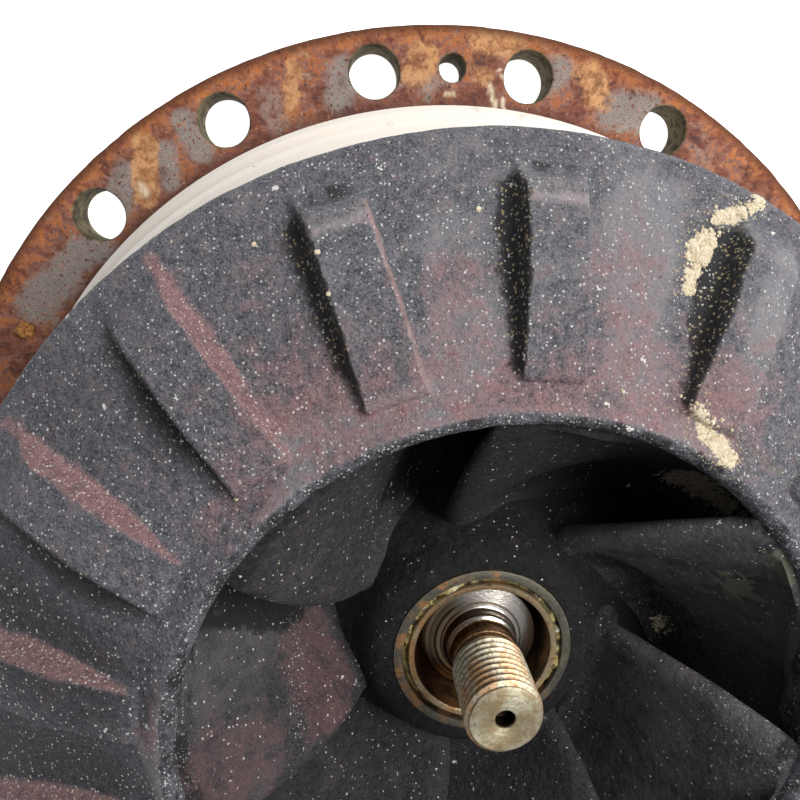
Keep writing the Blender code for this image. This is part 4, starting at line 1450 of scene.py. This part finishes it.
flange_points = [front, rear]
flange_faces = front_faces + [tuple(i + len(front) for i in face) for face in rear_faces]
offset = len(front) + len(rear)
for ring, centre, radius, way in plate_loops():
    wall = rim_wall(ring, centre, radius, way)
    count = wall.shape[0] * wall.shape[1]
    flange_points.append(wall.reshape(-1, 3))
    flange_faces += sheet_quads(np.arange(count).reshape(wall.shape[:2]) + offset).tolist()
    offset += count
flange_points = np.vstack(flange_points)
front_share = rise(flange_points[:, 2], FRONT_FROM, 2 * MM)
flange_points[:, 2] += rust_relief(flange_points * (1, 1, 0)) * front_share * RELIEF_SHARE
outer = from_axis(flange_points) > PLATE_RADIUS - 2 * MM
flakes = outer * np.clip(lumps(flange_points, 9 * MM, 4, 8.0) + 0.35, 0, 1)
flange_points[:, :2] *= (1 - flakes * EDGE_LOSS)[:, None]
flange_mesh = bpy.data.meshes.new("drilled_flange")
flange_mesh.from_pydata(flange_points.tolist(), [], flange_faces)
face_outward(flange_mesh)
print("flange points:", len(flange_mesh.vertices))

# %% [markdown]
# Rust is never one brown. The outer edge is bright orange where flakes keep falling off, the
# middle is purple-brown scale, bare grey steel shows where the gasket protected it, and ochre
# runs lie across it. The finish mixes these by noise of several sizes and by painted zones, then
# adds dark pits and pale flecks on top. The drilled walls stay smooth and olive from old oil.

# %% Rust colours
RUST_BANDS = ((0.36, (0.058, 0.030, 0.030)), (0.43, (0.125, 0.042, 0.028)), (0.480, (0.195, 0.068, 0.040)),
              (0.510, (0.175, 0.095, 0.085)), (0.545, (0.350, 0.110, 0.035)),
              (0.575, (0.165, 0.062, 0.040)),
              (0.615, (0.310, 0.180, 0.110)), (0.670, (0.230, 0.190, 0.185)))
FLAKE_DARK = (0.210, 0.058, 0.022)
FLAKE_ORANGE = (0.470, 0.155, 0.034)
MAROON = (0.085, 0.032, 0.022)
BARE_DARK = (0.145, 0.128, 0.118)
BARE_LIGHT = (0.295, 0.278, 0.262)
OCHRE_DARK = (0.290, 0.128, 0.048)
OCHRE_LIGHT = (0.500, 0.262, 0.118)
PIT_BROWN = (0.050, 0.018, 0.012)
FLECK_TAN = (0.480, 0.260, 0.130)
FLECK_PALE = (0.52, 0.40, 0.30)
PIT_BLACK = (0.035, 0.014, 0.010)
RIM_BROWN = (0.060, 0.022, 0.012)
CREAM_DARK = (0.40, 0.30, 0.19)
CREAM_LIGHT = (0.66, 0.56, 0.42)
OLIVE_DARK = (0.052, 0.044, 0.025)
OLIVE_LIGHT = (0.165, 0.132, 0.072)
print("bands of rust:", len(RUST_BANDS))


# %% Rust finish
def rust_finish():
    """Old rust on a plate, with bare grey and ochre zones."""
    f = Finish("plate_rust", specular=0.3)
    wide = f.noise(0.030, 5, 0.62, warp=0.7)
    middle = f.noise(0.0085, 5, 0.68, warp=0.4)
    fine = f.noise(0.0024, 4, 0.72)
    colour = f.bands(f.plus(f.times(wide, 0.55), f.times(middle, 0.45)), *RUST_BANDS)
    edge = f.ramp(f.plus(f.radius(), f.times(middle, 0.020)), 0.344, 0.360)
    colour = f.cover(colour, edge, 0.70, f.blend(middle, 0.40, 0.58, FLAKE_DARK, FLAKE_ORANGE))
    inner = f.ramp(f.math("SUBTRACT", f.radius(), f.times(middle, 0.012)), 0.306, 0.295)
    colour = f.cover(colour, inner, 0.75, MAROON)
    bare = f.blend(fine, 0.38, 0.60, BARE_DARK, BARE_LIGHT)
    colour = f.cover(colour, f.frayed("grey", wide, middle, 0.10, 0.90), f.ramp(fine, 0.66, 0.46), bare)
    run = f.blend(middle, 0.38, 0.60, OCHRE_DARK, OCHRE_LIGHT)
    colour = f.cover(colour, f.frayed("ochre", middle, fine, 0.15, 0.90), 0.88, run)
    colour = f.cover(colour, f.ramp(fine, 0.52, 0.70), 0.72, PIT_BROWN)
    colour = f.cover(colour, f.ramp(fine, 0.42, 0.30), 0.40, FLECK_TAN)
    colour = f.cover(colour, f.specks(0.0030, 0.20, 0.5), 0.6, FLECK_PALE)
    colour = f.cover(colour, f.specks(0.0042, 0.26, 0.6, seed=0.4), 0.8, PIT_BLACK)
    uneven = f.plus(f.radius(), f.times(middle, 0.012))
    rim = f.ramp(uneven, PLATE_RADIUS - 1.5 * MM, PLATE_RADIUS + 5.5 * MM)
    colour = f.cover(colour, rim, 0.85, RIM_BROWN)
    colour = f.mix(f.painted("cream"), colour, f.blend(fine, 0.40, 0.60, CREAM_DARK, CREAM_LIGHT))
    colour = f.mix(f.painted("wall"), colour, f.blend(middle, 0.40, 0.58, OLIVE_DARK, OLIVE_LIGHT))
    f.bump(fine, 0.0007)
    f.bump(middle, 0.0009, 0.5)
    return f.finish(colour, f.ramp(fine, -1.2, 0.8, soft=False))


plate_rust = rust_finish()
print("nodes in the rust:", len(plate_rust.node_tree.nodes))

# %% Flange with its zones of rust
GREY_STRIPES = (
    ((313, 139), (319, 142.3), 6, 9, 0.95), ((318, 144), (324, 149), 7, 10, 0.90),
    ((336, 121.7), (314, 122), 4, 7, 0.90), ((327, 125.3), (311, 127.1), 4, 6, 0.75),
    ((313, 104.5), (326, 103), 7, 9, 0.85), ((322, 112.2), (314, 113), 6, 9, 0.45),
    ((333, 78.4), (324, 80), 5, 9, 0.80), ((321, 71), (329, 67.0), 8, 9, 0.90),
    ((336, 60.5), (324, 57.5), 4, 8, 0.35), ((330, 130.5), (322, 133.5), 6, 9, 0.85),
    ((316, 98), (314, 92), 3, 7, 0.50), ((320, 200), (326, 209), 8, 12, 0.8),
    ((328, 236), (320, 250), 8, 12, 0.8), ((322, 288), (328, 300), 8, 12, 0.8),
    ((326, 332), (320, 346), 8, 12, 0.8), ((325, 12), (321, 24), 8, 12, 0.7),
)
OCHRE_STRIPES = (
    ((336.3, 126.7), (313.6, 130.4), 5.5, 5, 1.0), ((337.8, 108.5), (313.9, 110.4), 3.5, 4, 0.85),
    ((331.6, 94), (320, 95.3), 6, 8, 0.75), ((341.6, 88), (341.5, 84), 5, 6, 0.80),
    ((335.5, 74.9), (323.3, 72.8), 6, 8, 0.80), ((335.9, 56.5), (337.5, 52.4), 4, 7, 0.22),
    ((320, 87), (328, 88), 4, 7, 0.55), ((330, 190), (316, 192), 6, 6, 0.7),
    ((334, 262), (318, 265), 6, 8, 0.7), ((330, 322), (318, 325), 6, 6, 0.7),
    ((334, 5), (318, 3), 6, 6, 0.7),
)
CREAM_RUNS = (
    ((316, 86.4), (303, 85.4), 1.2, 0.8, 1.0), ((308, 84.6), (301, 84.2), 0.8, 0.8, 1.0),
    ((322, 84.9), (321, 84.8), 0.6, 0.6, 1.0), ((326, 85.5), (325.4, 85.5), 0.5, 0.6, 1.0),
    ((308, 90.6), (308, 91.6), 0.5, 0.7, 0.9), ((319, 130.0), (314, 130.2), 1.2, 2.5, 0.8),
)

spots = mesh_points(flange_mesh)
drilled = np.zeros(len(spots))
for centre, radius in flange_holes():
    drilled = np.maximum(drilled, np.hypot(*(spots[:, :2] - centre).T) < radius + 0.3 * MM)
for name, stripes in (("grey", GREY_STRIPES), ("ochre", OCHRE_STRIPES), ("cream", CREAM_RUNS)):
    paint(flange_mesh, name, zone(spots, stripes))
paint(flange_mesh, "wall", drilled)
add_piece("drilled_flange", flange_mesh, "stator", plate_rust, ["mounting_flange"], sharp=50)

# %% [markdown]
# Four of the twenty places on the bolt circle have no hole. At one of them a nodule of bright
# rust has grown out of the plate. It is made like a crumb of scale, only larger and with more
# points, and set on the face.

# %% Nodule of rust
NODULE_PLACE = (323, 152.3)
NODULE_SIZE = 5.6
NODULE_FLATNESS = 0.62
NODULE_BROWN = (0.150, 0.050, 0.018)
NODULE_ORANGE = (0.460, 0.210, 0.055)


def nodule_rust():
    """Bright orange-yellow rust that grew out of the plate."""
    f = Finish("nodule_rust", specular=0.3)
    fine = f.noise(0.0022, 4, 0.7)
    f.bump(fine, 0.0006)
    return f.finish(f.blend(fine, 0.38, 0.58, NODULE_BROWN, NODULE_ORANGE), 0.8)


nodule = lump_mesh("rust_nodule", [(*NODULE_PLACE, NODULE_SIZE, NODULE_FLATNESS, PLATE_THICKNESS)])
add_piece("rust_nodule", nodule, "stator", nodule_rust())

# %% [markdown]
# The spigot was machined after the flange, and it is almost white: a low step, then a nose that
# enters the machine. The turning tool left faint rings. A turned profile with small round edges
# is enough, and the rings are relief that depends only on the distance from the shaft.

# %% Spigot and housing finishes
NOSE_PALE = (0.69, 0.64, 0.58)
STEP_PALE = (0.63, 0.58, 0.53)
RING_SHADOW = (0.52, 0.47, 0.42)
STAIN_TAN = (0.46, 0.36, 0.28)
SPOT_BROWN = (0.16, 0.12, 0.09)
CASTING_GREY = (0.085, 0.070, 0.062)
CASTING_RUST = (0.190, 0.085, 0.042)
CASTING_DARK = (0.040, 0.024, 0.018)


def pale_metal():
    """Pale turned surface with faint rings and a few stains."""
    f = Finish("pale_turned", roughness=0.5, specular=0.4)
    rings = f.turning_marks(900.0, 3.0)
    colour = f.blend(f.radius(), 0.2836, 0.2842, NOSE_PALE, STEP_PALE)
    colour = f.cover(colour, f.ramp(rings, 0.45, 0.75), 0.14, RING_SHADOW)
    colour = f.cover(colour, f.ramp(f.noise(0.013, 4, 0.6), 0.62, 0.75), 0.45, STAIN_TAN)
    colour = f.cover(colour, f.specks(0.012, 0.13, 0.4), 0.8, SPOT_BROWN)
    f.bump(rings, 0.00025, 0.6)
    return f.finish(colour)


def cast_iron():
    """Plain rusty casting."""
    f = Finish("housing_casting", specular=0.35)
    fine = f.noise(0.0035, 4, 0.65)
    colour = f.blend(f.noise(0.045, 4), 0.40, 0.62, CASTING_GREY, CASTING_RUST)
    colour = f.cover(colour, f.ramp(fine, 0.50, 0.70), 0.6, CASTING_DARK)
    f.bump(fine, 0.0006)
    return f.finish(colour, f.ramp(fine, -1.0, 0.9, soft=False))


pale_turned = pale_metal()
housing_casting = cast_iron()
print("fixed finishes:", pale_turned.name, housing_casting.name)

# %% Spigot and housing
SPIGOT_CORNERS = ((150.2, 27.3), (298, 27.3), (298, 51), (284, 51), (284, 98), (150.2, 98))
HOUSING_CORNERS = ((30.4, 3), (62, 3), (62, 15), (105, 15), (105, 3), (149.7, 3), (149.7, 95), (30.4, 95))

spigot_profile = round_corners(in_metres(SPIGOT_CORNERS), 1.6 * MM)
spigot_mesh = rough_turned("turned_spigot", spigot_profile, 300, 5 * MM, 0.03 * MM, 1.0)
add_piece("turned_spigot", spigot_mesh, "stator", pale_turned, ["stepped_spigot"], sharp=30)
housing_profile = round_corners(in_metres(HOUSING_CORNERS), 3 * MM)
housing_mesh = rough_turned("cast_housing", housing_profile, 160, 4 * MM, 0.25 * MM, 7.0)
add_piece("cast_housing", housing_mesh, "stator", housing_casting, ["seal_housing"],
          sharp=30)

# %% [markdown]
# The stage is a plain pale floor and soft light. The floor gives off a little light of its own,
# like a light table, so the bolt holes show white and not a grey shadow. One broad lamp stands
# at the upper right and shades the ribs' left sides, where painted shade darkens them further,
# and the pale sky fills the rest.

# %% Floor
FLOOR_SIZE = 12
FLOOR_BELOW = 0.5 * MM
FLOOR_GREY = (0.86, 0.86, 0.86)
FLOOR_GLOW = 0.95

bpy.ops.mesh.primitive_plane_add(size=FLOOR_SIZE, location=(0, 0, -FLOOR_BELOW))
floor = bpy.context.object
floor.name = "floor"
floor_paint = Finish("pale_floor", roughness=0.9)
floor_paint.shader.inputs["Emission Color"].default_value = (1, 1, 1, 1)
floor_paint.shader.inputs["Emission Strength"].default_value = FLOOR_GLOW
floor.data.materials.append(floor_paint.finish(FLOOR_GREY))
print("floor, m:", FLOOR_SIZE)

# %% Light
KEY_TURN = math.radians(38)
KEY_RISE = math.radians(52)
KEY_AWAY = 1.7
KEY_AIM_HEIGHT = 0.15
KEY_SIZE = 0.9
KEY_POWER = 46
KEY_COLOUR = (1.0, 0.985, 0.96)
SKY_COLOUR = (0.93, 0.96, 1.0, 1)
SKY_STRENGTH = 0.34

key_lamp = bpy.data.lights.new("key_lamp", "AREA")
key_lamp.size = KEY_SIZE
key_lamp.energy = KEY_POWER
key_lamp.color = KEY_COLOUR
key = bpy.data.objects.new("key_lamp", key_lamp)
bpy.context.scene.collection.objects.link(key)
flat_reach = math.cos(KEY_RISE)
aim = Vector((math.cos(KEY_TURN) * flat_reach, math.sin(KEY_TURN) * flat_reach, math.sin(KEY_RISE)))
key.location = aim * KEY_AWAY + Vector((0, 0, KEY_AIM_HEIGHT))
key.rotation_euler = aim.to_track_quat("Z", "Y").to_euler()

sky = bpy.data.worlds.new("pale_sky")
sky.use_nodes = True
sky.node_tree.nodes["Background"].inputs["Color"].default_value = SKY_COLOUR
sky.node_tree.nodes["Background"].inputs["Strength"].default_value = SKY_STRENGTH
bpy.context.scene.world = sky
print("key lamp, W:", KEY_POWER)

# %% [markdown] The frame's solids that a dressed piece replaces stay hidden.
